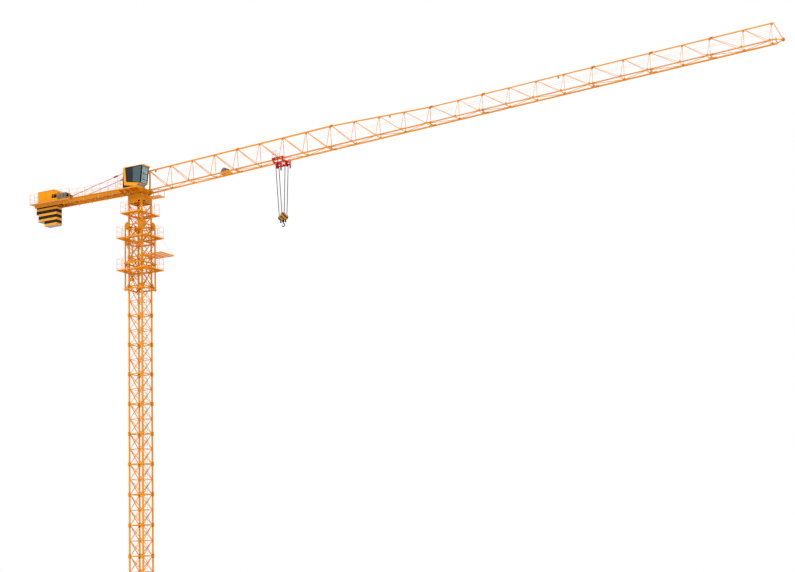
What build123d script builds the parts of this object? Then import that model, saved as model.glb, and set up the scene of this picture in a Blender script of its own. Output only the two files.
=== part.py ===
from build123d import *
import os
from math import atan2, cos, degrees, hypot, radians, sin

# Flat-top tower crane as a 1:10 scale model, in millimetres.
# +X runs out along the jib, +Z is up, and the origin lies under the mast's centre line, on the ground.

os.makedirs("parts", exist_ok=True)

# Fits
joint_gap = 0.4              # between pieces that are pinned or slid together
running_gap = 0.3            # under a wheel on its rail
seat_gap = 0.5               # across the slewing bearing

# Base and mast
base_height = 30.0
base_foot = 52.0
base_beam = 26.0
bolt_spacing = 192.0
bolt_radius = 3.5
mast_pitch = 160.0           # leg centre to leg centre
leg_size = 15.0
section_height = 300.0
section_count = 13
top_section_height = 240.0
bays_per_section = 2
brace_width = 7.0
brace_depth = 6.0
ring_width = 10.0
mid_rail_width = 5.0
collar_height = 40.0
collar_size = 19.0
ladder_width = 44.0
ladder_rail = 4.0
rung_spacing = 30.0
rung_width = 2.6
seat_height = 115.0
seat_wall = 9.0
seat_arch = 22.0
seat_arch_margin = 1.5
seat_arch_round = 9.0
seat_flange = 10.0

# Climbing cage and its platforms
cage_pitch = 214.0
cage_leg = 12.0
cage_bottom = 3250.0
cage_top = 3965.0
cage_ring_levels = (3268.0, 3534.0, 3745.0, 3934.0)
cage_panel = 8.0
cage_bar = 8.0
cage_ring_bar = 12.0
cage_shoulder = 46.0
cage_shoulder_drop = 15.0
guide_width = 12.0
deck_thickness = 6.0
top_deck_level = 4050.0
top_deck_length = 250.0
top_deck_width = 330.0
cage_deck_levels = (3465.0, 3800.0)
cage_deck_length = 372.0
cage_deck_width = 300.0
rail_height = 115.0
rail_bar = 3.6
rail_post_spacing = 75.0
feed_level = 3590.0
feed_depth = 9.0
feed_reach = 339.0
feed_bar = 7.0
feed_rail_count = 5
stay_size = 3.0
jack_radius = 7.5
jack_sides = 8
jack_length = 215.0
jack_x = -29.0
jack_beam_height = 18.0
jack_beam_length = 90.0
pump_length = 52.0
pump_depth = 30.0
pump_height = 56.0
pump_x = -20.0
pump_level = 3338.0
pump_chamfer = 4.0

# Slewing upperworks
turntable_height = 50.0
turntable_ring_radius = 86.0
turntable_ring_height = 12.0
turntable_neck = 165.0
turntable_top = 200.0
turntable_plate = 10.0
lug_height = 28.0
lug_width = 16.0
head_width = 110.0           # outside to outside of the two side frames
head_frame_thickness = 10.0
head_member = 14.0
head_height = 232.0
head_rear_foot = -70.0
head_peak_x = 46.0
head_peak_length = 28.0
head_front_x = 97.4
head_pin_overhang = 11.0
head_pin_length = 21.0
head_rear_beam_lead = 21.0
head_beam_height = 24.0
cab_rear_x = -72.0
cab_front_x = 168.0
cab_near_y = -190.0
cab_far_y = -70.0
cab_height = 215.0
cab_chin_length = 68.0
cab_chin_height = 24.0
cab_wall = 5.0
cab_frame = 12.0
cab_window_rear_x = -50.0
cab_window_sill = 34.0
cab_roof_thickness = 7.0
cab_roof_visor = 14.0
cab_roof_chamfer = 2.4
cab_floor_thickness = 6.0
glass_thickness = 2.0
cab_deck_rear_x = -143.0
cab_deck_front_x = 100.0
root_deck_near_x = 130.0
root_deck_far_x = 275.0
root_deck_width = 92.0
root_deck_level = 4205.0
root_hanger = 5.0

# Jib
jib_rise = 2.66              # degrees above level
jib_root_x = 108.0
jib_root_z = 4275.0
jib_width = 105.0            # bottom chord centre to bottom chord centre
panel_length = 268.9
deep_height = 220.0          # bottom chord axis to top chord axis near the tower
slim_height = 165.0          # the same towards the tip
deep_panels = 8
taper_panels = 4
slim_panels = 12
bottom_chord = 12.0
top_chord_sizes = (14.0, 12.0, 10.5)      # near the tower, along the taper, towards the tip
diagonal_sizes = (6.5, 5.5, 4.5)
post_sizes = (5.5, 5.0, 4.0)
long_panels = (13, 19, 21, 23)            # first panels of the short sections, longer than their second
long_panel_extra = 26.0
top_node_lead = 27.0
bottom_node_lead = -8.0
post_head_offset = -9.0
section_joint_lead = 34.0
bracing_width = 5.0
bracing_depth = 5.0
trolley_rail_width = 8.0
trolley_rail_thickness = 3.0
tip_overhang = 62.0
tip_frame_size = 8.0
tip_sheave_radius = 16.0
tip_sheave_width = 8.0
tip_cut_size = 400.0
tip_cut_length = 24.0
winch_along = 900.0
winch_length = 95.0
winch_height = 55.0
winch_width = 50.0
winch_tray = 4.0
winch_tray_length = 124.0
winch_front_height = 30.0
winch_peak_along = 57.0
winch_back_along = 28.0
winch_back_height = 28.0
rope_size = 2.4
rope_up = 25.0
rope_spread = 14.0
guide_places = (96.0, 2815.0, 4530.0)
guide_length = 12.0
guide_drop = 22.0

# Counter-jib
counter_pitch = 140.0
counter_beam_width = 10.0
counter_beam_height = 40.0
counter_beam_top = 4340.0
counter_rear_x = -1326.0
counter_tie_spacing = 100.0
counter_tie_size = 8.0
counter_deck_rear_x = -1040.0
counter_deck_thickness = 4.0
counter_rail_front_x = -160.0
counter_rail_rear_x = -860.0
counter_post_spacing = 100.0
counter_rail_height = 90.0
counter_lug_length = 24.0
counter_lug_width = 16.0
tie_y = 62.0
tie_rod = 5.0
tie_rear_x = -875.0
tie_rear_rise = 12.0
tie_lug = 14.0
turnbuckle_size = 10.0
turnbuckle_length = 46.0
turnbuckle_front = 250.0
rear_deck_front_x = -830.0
rear_deck_rear_x = -1360.0
rear_deck_width = 230.0
rear_deck_thickness = 6.0
rear_deck_level = 4334.0
house_front_x = -1027.0
house_rear_x = -1284.0
house_width = 136.0
house_height = 125.0
house_roof_drop = 30.0
house_roof_run = 36.0
hoist_front_x = -900.0
hoist_rear_x = -1022.0
hoist_base = 12.0
hoist_drum_radius = 36.0
hoist_drum_length = 84.0
hoist_motor_size = 60.0
hoist_motor_length = 48.0
drum_sides = 12
slab_width = 90.0
slab_thickness = 27.0
slab_front_x = -1054.0
slab_drops = (205.0, 205.0, 205.0, 205.0, 205.0, 205.0, 150.0, 150.0, 150.0, 68.0)
hanger_height = 8.0

# Trolley, hook block and hook
trolley_along = 1604.0
trolley_length = 140.0
trolley_plate = 4.0
trolley_plate_top = 14.0
trolley_plate_bottom = -44.0
trolley_plate_cut = 20.0
trolley_plate_member = 8.0
trolley_side_gap = 5.0
trolley_cross_size = 12.0
trolley_cross_up = -22.0
wheel_radius = 9.0
wheel_width = 6.0
wheel_gap = 1.0
wheel_axle = 3.0
wheel_base = 100.0
sheave_spacing = 106.0
sheave_radius = 15.0
sheave_width = 8.0
sheave_up = -60.0
sheave_arm_gap = 1.0
sheave_arm = 3.0
sheave_arm_width = 16.0
basket_lead = -64.0
basket_length = 90.0
basket_width = 40.0
basket_height = 66.0
basket_bar = 3.0
fall_radius = 2.2
block_drop = 515.0           # sheave axis of the trolley to the sheave axis of the block
block_sheave_spacing = 54.0
block_sheave_radius = 13.5
block_sheave_width = 8.0
block_cheek = 4.0
block_length = 104.0
block_top_length = 56.0
block_rise = 45.0
block_shoulder = 8.0
block_height = 32.0
block_neck = 18.0
block_neck_radius = 11.0
hook_gap = 0.5
hook_bar = 8.0
hook_throat = 11.0
hook_shank = 18.0

# Places worked out from the sizes above
mast_top = section_count * section_height + top_section_height
seat_top = mast_top + seat_height
turntable_bottom = seat_top + seat_gap
deck_top = turntable_bottom + turntable_height
leg_face = (mast_pitch + leg_size) / 2
cage_face = (cage_pitch + cage_leg) / 2
panel_count = deep_panels + taper_panels + slim_panels
jib_length = panel_count * panel_length
jib_plane = Plane(
    origin=(jib_root_x, 0, jib_root_z),
    x_dir=(cos(radians(jib_rise)), 0, sin(radians(jib_rise))),
    z_dir=(-sin(radians(jib_rise)), 0, cos(radians(jib_rise))),
)


def save(piece, name):
    """Label a finished piece and write it as a STEP file of the same name."""
    piece.part.label = name
    export_step(piece.part, f"parts/{name}.step")


def bar(start, end, width, across=None):
    """Square bar between two points, kept apart until it is added to a part."""
    run = Vector(*end) - Vector(*start)
    with BuildSketch(Plane(origin=start, x_dir=across, z_dir=run)) as section:
        Rectangle(width, width)
    return extrude(section.sketch, amount=run.length, mode=Mode.PRIVATE)


def side_plane(distance, angle):
    """Upright plane at a distance from the mast's axis; local x is level and local y is height."""
    turn = radians(angle)
    return Plane(
        origin=(distance * sin(turn), -distance * cos(turn), 0),
        x_dir=(cos(turn), sin(turn), 0),
        z_dir=(sin(turn), -cos(turn), 0),
    )


def on_jib(along, across, up):
    """Point given by its distance out along the jib, sideways and up from the bottom chords."""
    return tuple(jib_plane.from_local_coords(Vector(along, across, up)))


def jib_section_plane(along):
    """Plane square to the jib; local x is sideways and local y is up."""
    return Plane(origin=on_jib(along, 0, 0), x_dir=(0, 1, 0), z_dir=jib_plane.x_dir)


def jib_side_plane(across):
    """Upright plane along the jib at a sideways distance; local x is along and local y is up."""
    return Plane(origin=on_jib(0, across, 0), x_dir=jib_plane.x_dir, z_dir=(0, -1, 0))


def evenly(first, last, spacing):
    """Evenly spaced values from first to last, about one spacing apart."""
    steps = max(1, round(abs(last - first) / spacing))
    return [first + (last - first) * step / steps for step in range(steps + 1)]


def chord_height(along):
    """Height of the top chord's axis over the bottom chords: deep, then a taper, then slim."""
    taper_start = deep_panels * panel_length + section_joint_lead
    taper_end = (deep_panels + taper_panels) * panel_length + section_joint_lead
    share = min(1, max(0, (along - taper_start) / (taper_end - taper_start)))
    return deep_height + (slim_height - deep_height) * share


def node_place(panel):
    """Distance along the jib of the node at the end of a panel."""
    extra = long_panel_extra if panel in long_panels else 0
    return panel * panel_length + extra


# Base frame: four feet on a diagonal cross, with a bolt hole in each foot
with BuildPart() as base_frame:
    with BuildSketch():
        with GridLocations(mast_pitch, mast_pitch, 2, 2):
            Rectangle(base_foot, base_foot)
        Rectangle(hypot(mast_pitch, mast_pitch), base_beam, rotation=45)
        Rectangle(hypot(mast_pitch, mast_pitch), base_beam, rotation=-45)
        with GridLocations(bolt_spacing, bolt_spacing, 2, 2):
            Circle(bolt_radius, mode=Mode.SUBTRACT)
    extrude(amount=base_height)
save(base_frame, "base_frame")

# Mast legs, with a collar on the outer corner at each section joint
joint_levels = [section_height * step for step in range(1, section_count + 1)]
with BuildPart() as mast_legs:
    with BuildSketch(Plane.XY.offset(base_height)):
        with GridLocations(mast_pitch, mast_pitch, 2, 2):
            Rectangle(leg_size, leg_size)
    extrude(amount=mast_top - base_height)
    collar_pitch = mast_pitch + collar_size - leg_size
    with BuildSketch(*[Plane.XY.offset(level - collar_height / 2) for level in joint_levels]):
        with GridLocations(collar_pitch, collar_pitch, 2, 2):
            Rectangle(collar_size, collar_size)
    extrude(amount=collar_height)
save(mast_legs, "mast_legs")

# Mast sides: crossed braces in every bay, a ring bar at every joint and a thin bar between
bay_height = section_height / bays_per_section
bay_count = section_count * bays_per_section
top_bay = top_section_height / bays_per_section
main_bays = [(0, bay_height * (step + 0.5)) for step in range(bay_count)]
top_bays = [(0, mast_top - top_section_height + top_bay * (step + 0.5)) for step in range(bays_per_section)]
mid_levels = [(0, level - section_height / 2) for level in joint_levels] + [(0, mast_top - top_bay)]
ring_levels = [(0, level) for level in joint_levels] + [(0, mast_top - ring_width / 2)]
side_clear = mast_pitch - leg_size
for side_name, side_angle in (("near", 0), ("jib", 90), ("far", 180), ("counter", 270)):
    with BuildPart() as mast_side:
        with BuildSketch(side_plane(mast_pitch / 2, side_angle)):
            for centres, height in ((main_bays, bay_height), (top_bays, top_bay)):
                slope = degrees(atan2(height, mast_pitch))
                with Locations(*centres):
                    Rectangle(hypot(mast_pitch, height), brace_width, rotation=slope)
                    Rectangle(hypot(mast_pitch, height), brace_width, rotation=-slope)
            with Locations(*ring_levels):
                Rectangle(mast_pitch, ring_width)
            with Locations(*mid_levels):
                Rectangle(mast_pitch, mid_rail_width)
            with Locations((0, (mast_top + base_height) / 2)):
                Rectangle(side_clear, mast_top - base_height, mode=Mode.INTERSECT)
        extrude(amount=brace_depth / 2, both=True)
    save(mast_side, f"mast_{side_name}_side")

# Ladder inside the mast, on the far side's bars
ladder_plane = side_plane(mast_pitch / 2 - brace_depth / 2, 180)
with BuildPart() as mast_ladder:
    with BuildSketch(ladder_plane):
        rung_levels = evenly(base_height + rung_spacing, mast_top - rung_spacing, rung_spacing)
        with Locations(*[(0, level) for level in rung_levels]):
            Rectangle(ladder_width, rung_width)
        with Locations((0, (base_height + mast_top) / 2)):
            with GridLocations(ladder_width, 0, 2, 1):
                Rectangle(ladder_rail, mast_top - base_height)
    extrude(amount=-ladder_rail)
save(mast_ladder, "mast_ladder")

# Slewing seat: a hollow square housing with a round-cornered opening over each side of the mast
seat_size = mast_pitch + leg_size
with BuildPart() as slewing_seat:
    with BuildSketch(Plane.XY.offset(mast_top)):
        Rectangle(seat_size, seat_size)
    extrude(amount=seat_height)
    with BuildSketch(Plane.XY.offset(mast_top)):
        Rectangle(seat_size - 2 * seat_wall, seat_size - 2 * seat_wall)
    extrude(amount=seat_height - seat_flange, mode=Mode.SUBTRACT)
    for angle in (0, 90):
        with BuildSketch(side_plane(0, angle)):
            with Locations((0, mast_top)):
                RectangleRounded(side_clear - 2 * seat_arch_margin, 2 * seat_arch, seat_arch_round)
        extrude(amount=seat_size, both=True, mode=Mode.SUBTRACT)
save(slewing_seat, "slewing_seat")

# Climbing cage legs
with BuildPart() as cage_legs:
    with BuildSketch(Plane.XY.offset(cage_bottom)):
        with GridLocations(cage_pitch, cage_pitch, 2, 2):
            Rectangle(cage_leg, cage_leg)
    extrude(amount=cage_top - cage_bottom)
save(cage_legs, "cage_legs")

# Climbing cage sides: braced panels with guide blocks against the mast; the jib side is open in its middle
cage_clear = cage_pitch - cage_leg
guide_depth = cage_pitch / 2 - cage_panel / 2 - leg_face
guide_levels = (cage_ring_levels[0], cage_ring_levels[1], cage_ring_levels[3])
with BuildPart() as cage_sides:
    for angle in (0, 90, 180, 270):
        feeding_side = angle == 90
        closed_bays = [pair for pair in zip(cage_ring_levels, cage_ring_levels[1:])]
        if feeding_side:
            closed_bays = closed_bays[:1] + closed_bays[2:]
        with BuildSketch(side_plane(cage_pitch / 2, angle)):
            with Locations(*[(0, level) for level in cage_ring_levels]):
                Rectangle(cage_clear, cage_ring_bar)
            for low, high in closed_bays:
                slope = degrees(atan2(high - low, cage_clear))
                with Locations((0, (low + high) / 2)):
                    Rectangle(hypot(cage_clear, high - low), cage_bar, rotation=slope)
                    Rectangle(hypot(cage_clear, high - low), cage_bar, rotation=-slope)
            for end in (-1, 1):
                with BuildLine():
                    Polyline(
                        (end * cage_clear / 2, cage_top),
                        (end * (cage_clear / 2 - cage_shoulder), cage_top),
                        (end * (cage_clear / 2 - cage_shoulder), cage_ring_levels[3] - cage_shoulder_drop),
                        (end * cage_clear / 2, cage_ring_levels[3] - cage_shoulder),
                        close=True,
                    )
                make_face()
            with Locations((0, (cage_bottom + cage_top) / 2)):
                Rectangle(cage_clear, cage_top - cage_bottom, mode=Mode.INTERSECT)
        extrude(amount=cage_panel / 2, both=True)
        with BuildSketch(side_plane(leg_face, angle)):
            for level in guide_levels:
                with Locations((0, level)):
                    with GridLocations(mast_pitch, 0, 2, 1):
                        Rectangle(guide_width, guide_width)
        extrude(amount=guide_depth)
save(cage_sides, "cage_sides")


def deck_strips(level, length, width, opening):
    """Sketch of a deck round a square opening: two long strips and two short ones between them."""
    long_depth = (width - opening) / 2
    short_depth = (length - opening) / 2
    with BuildSketch(Plane.XY.offset(level)) as strips:
        with GridLocations(0, opening + long_depth, 1, 2):
            Rectangle(length, long_depth)
        with GridLocations(opening + short_depth, 0, 2, 1):
            Rectangle(short_depth, opening - 2 * joint_gap)
    return strips.sketch


# Platforms round the mast top and round the cage
with BuildPart() as top_platform:
    extrude(deck_strips(top_deck_level, top_deck_length, top_deck_width, 2 * leg_face), amount=deck_thickness)
save(top_platform, "top_platform")

with BuildPart() as cage_platforms:
    for level in cage_deck_levels:
        extrude(deck_strips(level, cage_deck_length, cage_deck_width, 2 * cage_face), amount=deck_thickness)
save(cage_platforms, "cage_platforms")


def railing_sketch(plane, length, level, spacing, height=rail_height, middle=0.0):
    """Sketch of a railing panel: posts, a top rail, a knee rail and a low toe bar."""
    end_post = (length - rail_bar) / 2
    posts = evenly(middle - end_post, middle + end_post, spacing)
    with BuildSketch(plane) as railing:
        with Locations(*[(place, level + height / 2) for place in posts]):
            Rectangle(rail_bar, height)
        for rail_up in (height - rail_bar / 2, height / 2, rail_bar / 2):
            with Locations((middle, level + rail_up)):
                Rectangle(length, rail_bar)
    return railing.sketch


# Railings round the three platforms
platform_sizes = [(top_deck_level, top_deck_length, top_deck_width)]
platform_sizes += [(level, cage_deck_length, cage_deck_width) for level in cage_deck_levels]
with BuildPart() as platform_railings:
    for level, length, width in platform_sizes:
        foot = level + deck_thickness
        for angle, span, distance in ((0, length, width), (180, length, width)):
            plane = side_plane(distance / 2 - rail_bar, angle)
            extrude(railing_sketch(plane, span, foot, rail_post_spacing), amount=rail_bar)
        for angle, span, distance in ((90, width, length), (270, width, length)):
            plane = side_plane(distance / 2 - rail_bar, angle)
            clear_span = span - 2 * rail_bar - 2 * joint_gap
            extrude(railing_sketch(plane, clear_span, foot, rail_post_spacing), amount=rail_bar)
save(platform_railings, "platform_railings")

# Platform that feeds new mast sections in from the jib side, with its two stays
feed_length = feed_reach - cage_face
feed_width = 2 * cage_face
with BuildPart() as feeding_platform:
    with BuildSketch(Plane.XY.offset(feed_level)):
        with Locations((cage_face + feed_length / 2, 0)):
            with GridLocations(0, (feed_width - feed_bar) / (feed_rail_count - 1), 1, feed_rail_count):
                Rectangle(feed_length, feed_bar)
            with GridLocations((feed_length - feed_bar) / 2, 0, 3, 1):
                Rectangle(feed_bar, feed_width)
    extrude(amount=feed_depth)
save(feeding_platform, "feeding_platform")

with BuildPart() as feeding_stays:
    stay_y = feed_width / 2 - feed_bar / 2
    for side in (-1, 1):
        upper = (cage_deck_length / 2 - rail_bar, side * stay_y, cage_deck_levels[1])
        lower = (feed_reach - feed_bar, side * stay_y, feed_level + feed_depth)
        add(bar(lower, upper, stay_size))
    add(cage_platforms.part, mode=Mode.SUBTRACT)
    add(feeding_platform.part, mode=Mode.SUBTRACT)
save(feeding_stays, "feeding_stays")

# Climbing jack on its beam, between the mast and the cage's near side
jack_beam_depth = cage_pitch / 2 - cage_panel / 2 - leg_face
jack_y = -(leg_face + jack_beam_depth / 2)
jack_level = cage_ring_levels[1] + cage_bar
with BuildPart() as climbing_jack:
    with BuildSketch(Plane.XY.offset(jack_level)):
        with Locations((jack_x, jack_y)):
            Rectangle(jack_beam_length, jack_beam_depth)
    extrude(amount=jack_beam_height)
    with BuildSketch(Plane.XY.offset(jack_level + jack_beam_height)):
        with Locations((jack_x, jack_y)):
            RegularPolygon(jack_radius, jack_sides)
    extrude(amount=jack_length)
save(climbing_jack, "climbing_jack")

# Hydraulic pump unit on the outside of the cage's near side
with BuildPart() as hydraulic_unit:
    with BuildSketch(Plane.XY.offset(pump_level)):
        with Locations((pump_x, -(cage_pitch / 2 + cage_panel / 2 + pump_depth / 2))):
            Rectangle(pump_length, pump_depth)
    extrude(amount=pump_height)
    chamfer(hydraulic_unit.edges().filter_by(Axis.Z), pump_chamfer)
save(hydraulic_unit, "hydraulic_unit")

# Turntable: bearing ring, flared neck, deck plate, and the lugs that hold the jib and the counter-jib
plate_bottom = deck_top - turntable_plate
neck_bottom = turntable_bottom + turntable_ring_height
with BuildPart() as turntable:
    with BuildSketch(Plane.XY.offset(turntable_bottom)):
        Circle(turntable_ring_radius)
    extrude(amount=turntable_ring_height)
    with BuildSketch(Plane.XY.offset(neck_bottom)):
        Rectangle(turntable_neck, turntable_neck)
    with BuildSketch(Plane.XY.offset(plate_bottom)):
        Rectangle(turntable_top, turntable_top)
    loft()
    with BuildSketch(Plane.XY.offset(plate_bottom)):
        Rectangle(turntable_top, turntable_top)
    extrude(amount=turntable_plate)
    with BuildSketch(Plane.XY.offset(jib_root_z - lug_height / 2)):
        with Locations((jib_root_x / 2, 0)):
            with GridLocations(0, jib_width, 1, 2):
                Rectangle(jib_root_x, lug_width)
    extrude(amount=lug_height)
    with BuildSketch(Plane.XY.offset(deck_top)):
        with Locations((-(turntable_top - counter_lug_length) / 2, 0)):
            with GridLocations(0, counter_pitch, 1, 2):
                Rectangle(counter_lug_length, counter_lug_width)
    extrude(amount=counter_beam_top - deck_top)
save(turntable, "turntable")

# Tower head: two side frames, and the beams between them that carry the jib and the tie rods
head_peak = deck_top + head_height
head_front_top = on_jib(0, 0, deep_height)[2] + head_beam_height / 2
with BuildPart() as head_frames:
    for side in (-1, 1):
        with BuildSketch(Plane.XZ.offset(-side * (head_width / 2 - head_frame_thickness / 2))):
            with BuildLine():
                Polyline(
                    (head_rear_foot, deck_top),
                    (head_front_x, deck_top),
                    (head_front_x, head_front_top),
                    (head_peak_x, head_peak),
                    (head_peak_x - head_peak_length, head_peak),
                    close=True,
                )
            make_face()
            offset(amount=-head_member, kind=Kind.INTERSECTION, mode=Mode.SUBTRACT)
        extrude(amount=head_frame_thickness / 2, both=True)
save(head_frames, "head_frames")

head_clear = head_width - 2 * head_frame_thickness
with BuildPart() as head_beams:
    with BuildSketch(Plane.XY.offset(head_front_top - head_beam_height)):
        with Locations((head_front_x - head_member / 2, 0)):
            Rectangle(head_member, head_clear)
    extrude(amount=head_beam_height)
    with BuildSketch(Plane.XY.offset(head_peak)):
        with Locations((head_peak_x - head_peak_length / 2, 0)):
            Rectangle(head_pin_length, head_width + 2 * head_pin_overhang)
    extrude(amount=head_member)
    with BuildSketch(Plane.XY.offset(deck_top)):
        with Locations((head_rear_foot + head_rear_beam_lead, 0)):
            Rectangle(head_member, head_clear)
    extrude(amount=head_member)
save(head_beams, "head_beams")

# Operator's cab: floor, four glazed walls and a roof with a visor
cab_floor_top = deck_top + cab_floor_thickness
cab_roof_bottom = deck_top + cab_height - cab_roof_thickness
cab_mid_y = (cab_near_y + cab_far_y) / 2
cab_width = cab_far_y - cab_near_y
chin_rear_x = cab_front_x - cab_chin_length
chin_top = cab_floor_top + cab_chin_height
with BuildPart() as cab_floor:
    with BuildSketch(Plane.XY.offset(deck_top)):
        with Locations(((cab_rear_x + chin_rear_x) / 2, cab_mid_y)):
            Rectangle(chin_rear_x - cab_rear_x, cab_width)
    extrude(amount=cab_floor_thickness)
save(cab_floor, "cab_floor")


def cab_side_outline():
    """Outline of the cab's side over its floor, with the sloping chin at the front."""
    Polyline(
        (cab_rear_x, cab_floor_top),
        (chin_rear_x, cab_floor_top),
        (cab_front_x, chin_top),
        (cab_front_x, cab_roof_bottom),
        (cab_rear_x, cab_roof_bottom),
        close=True,
    )


window_top = cab_roof_bottom - cab_frame / 2
side_window = (
    (cab_window_rear_x, cab_floor_top + cab_window_sill),
    (chin_rear_x - cab_frame, cab_floor_top + cab_window_sill),
    (cab_front_x - cab_frame, chin_top + cab_frame),
    (cab_front_x - cab_frame, window_top),
    (cab_window_rear_x, window_top),
)
front_clear = cab_width - 2 * cab_wall - 2 * joint_gap
front_window_height = window_top - chin_top - cab_frame
front_window_z = (window_top + chin_top + cab_frame) / 2
rear_wall_height = cab_roof_bottom - cab_floor_top
chin_slope = Vector(cab_chin_length, 0, cab_chin_height)
chin_plane = Plane(
    origin=((chin_rear_x + cab_front_x) / 2, cab_mid_y, (cab_floor_top + chin_top) / 2),
    x_dir=chin_slope,
    z_dir=(cab_chin_height, 0, -cab_chin_length),
)
front_plane = Plane(origin=(cab_front_x, cab_mid_y, 0), x_dir=(0, 1, 0), z_dir=(1, 0, 0))
rear_plane = Plane(origin=(cab_rear_x, cab_mid_y, 0), x_dir=(0, -1, 0), z_dir=(-1, 0, 0))
with BuildPart() as cab_walls:
    for wall_y in (cab_near_y, cab_far_y - cab_wall):
        with BuildSketch(Plane.XZ.offset(-wall_y)):
            with BuildLine():
                cab_side_outline()
            make_face()
            with BuildLine():
                Polyline(*side_window, close=True)
            make_face(mode=Mode.SUBTRACT)
        extrude(amount=-cab_wall)
    with BuildSketch(front_plane):
        with Locations((0, (chin_top + cab_roof_bottom) / 2)):
            Rectangle(front_clear, cab_roof_bottom - chin_top)
        with Locations((0, front_window_z)):
            Rectangle(front_clear - 2 * cab_frame, front_window_height, mode=Mode.SUBTRACT)
    extrude(amount=-cab_wall)
    with BuildSketch(rear_plane):
        with Locations((0, (cab_floor_top + cab_roof_bottom) / 2)):
            Rectangle(front_clear, rear_wall_height)
    extrude(amount=-cab_wall)
save(cab_walls, "cab_walls")

glass_inset = (cab_wall - glass_thickness) / 2
chin_window_length = hypot(cab_chin_length, cab_chin_height) - 2 * cab_wall
with BuildPart() as cab_glass:
    for wall_y in (cab_near_y, cab_far_y - cab_wall):
        with BuildSketch(Plane.XZ.offset(-wall_y - glass_inset)):
            with BuildLine():
                Polyline(*side_window, close=True)
            make_face()
        extrude(amount=-glass_thickness)
    with BuildSketch(front_plane.offset(-glass_inset)):
        with Locations((0, front_window_z)):
            Rectangle(front_clear - 2 * cab_frame, front_window_height)
    extrude(amount=-glass_thickness)
    with BuildSketch(chin_plane):
        Rectangle(chin_window_length, front_clear)
    extrude(amount=-glass_thickness)
save(cab_glass, "cab_glass")

with BuildPart() as cab_roof:
    with BuildSketch(Plane.XY.offset(cab_roof_bottom)):
        with Locations(((cab_rear_x + cab_front_x + cab_roof_visor) / 2, cab_mid_y)):
            Rectangle(cab_front_x + cab_roof_visor - cab_rear_x, cab_width)
    extrude(amount=cab_roof_thickness)
    chamfer(cab_roof.faces().sort_by(Axis.Z)[-1].edges(), cab_roof_chamfer)
save(cab_roof, "cab_roof")

# Deck beside the turntable that carries the cab
cab_deck_near_y = cab_near_y
cab_deck_far_y = -turntable_top / 2
with BuildPart() as cab_platform:
    with BuildSketch(Plane.XY.offset(plate_bottom)):
        with Locations(((cab_deck_rear_x + cab_deck_front_x) / 2, (cab_deck_near_y + cab_deck_far_y) / 2)):
            Rectangle(cab_deck_front_x - cab_deck_rear_x, cab_deck_far_y - cab_deck_near_y)
    extrude(amount=turntable_plate)
save(cab_platform, "cab_platform")

# Small platform hung under the jib's root
with BuildPart() as root_platform:
    root_deck_length = root_deck_far_x - root_deck_near_x
    root_deck_x = (root_deck_near_x + root_deck_far_x) / 2
    with BuildSketch(Plane.XY.offset(root_deck_level)):
        with Locations((root_deck_x, 0)):
            Rectangle(root_deck_length, root_deck_width + root_hanger * 2)
    extrude(amount=deck_thickness)
    hanger_y = root_deck_width / 2 + root_hanger / 2
    for hanger_x in (root_deck_near_x + root_hanger, root_deck_far_x - root_hanger):
        chord_drop = bottom_chord / 2 + root_hanger / 2 * sin(radians(jib_rise)) + running_gap
        hanger_top = on_jib(hanger_x - jib_root_x, 0, 0)[2] - chord_drop
        with BuildSketch(Plane.XY.offset(root_deck_level + deck_thickness)):
            with Locations((hanger_x, 0)):
                with GridLocations(0, 2 * hanger_y, 1, 2):
                    Rectangle(root_hanger, root_hanger)
        extrude(amount=hanger_top - root_deck_level - deck_thickness)
save(root_platform, "root_platform")

# Jib sections: where each group of sections starts and ends along the jib
deep_end = deep_panels * panel_length + section_joint_lead
taper_end = (deep_panels + taper_panels) * panel_length + section_joint_lead
jib_end = jib_length + section_joint_lead
group_panels = (
    ("root", joint_gap, deep_end - joint_gap, range(1, deep_panels + 1), 0),
    ("taper", deep_end, taper_end - joint_gap, range(deep_panels + 1, deep_panels + taper_panels + 1), 1),
    ("outer", taper_end, jib_end, range(deep_panels + taper_panels + 1, panel_count + 1), 2),
)

# Jib top chord, in three straight lengths
with BuildPart() as jib_top_chord:
    for group_name, start, end, panels, rank in group_panels:
        first = on_jib(start, 0, chord_height(start))
        last = on_jib(end, 0, chord_height(end))
        add(bar(first, last, top_chord_sizes[rank], across=(0, 1, 0)))
save(jib_top_chord, "jib_top_chord")

# Jib sides: a bottom chord with the diagonals and posts that rise from it to the side of the top chord
for group_name, start, end, panels, rank in group_panels:
    with BuildPart() as jib_sides:
        for side in (-1, 1):
            foot_y = side * jib_width / 2
            head_y = side * top_chord_sizes[rank] / 2
            members = [bar(on_jib(start, foot_y, 0), on_jib(end, foot_y, 0), bottom_chord, across=(0, 1, 0))]
            for panel in panels:
                foot_along = node_place(panel) + bottom_node_lead
                near_along = max(node_place(panel - 1) + top_node_lead, start + diagonal_sizes[rank])
                far_along = node_place(panel) + top_node_lead + post_head_offset
                members.append(
                    bar(
                        on_jib(foot_along, foot_y, 0),
                        on_jib(near_along, head_y, chord_height(near_along)),
                        diagonal_sizes[rank],
                        across=(0, 1, 0),
                    )
                )
                members.append(
                    bar(
                        on_jib(foot_along, foot_y, 0),
                        on_jib(far_along, head_y, chord_height(far_along)),
                        post_sizes[rank],
                        across=(0, 1, 0),
                    )
                )
            add(members)
        add(jib_top_chord.part, mode=Mode.SUBTRACT)
    save(jib_sides, f"jib_{group_name}_sides")

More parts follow.
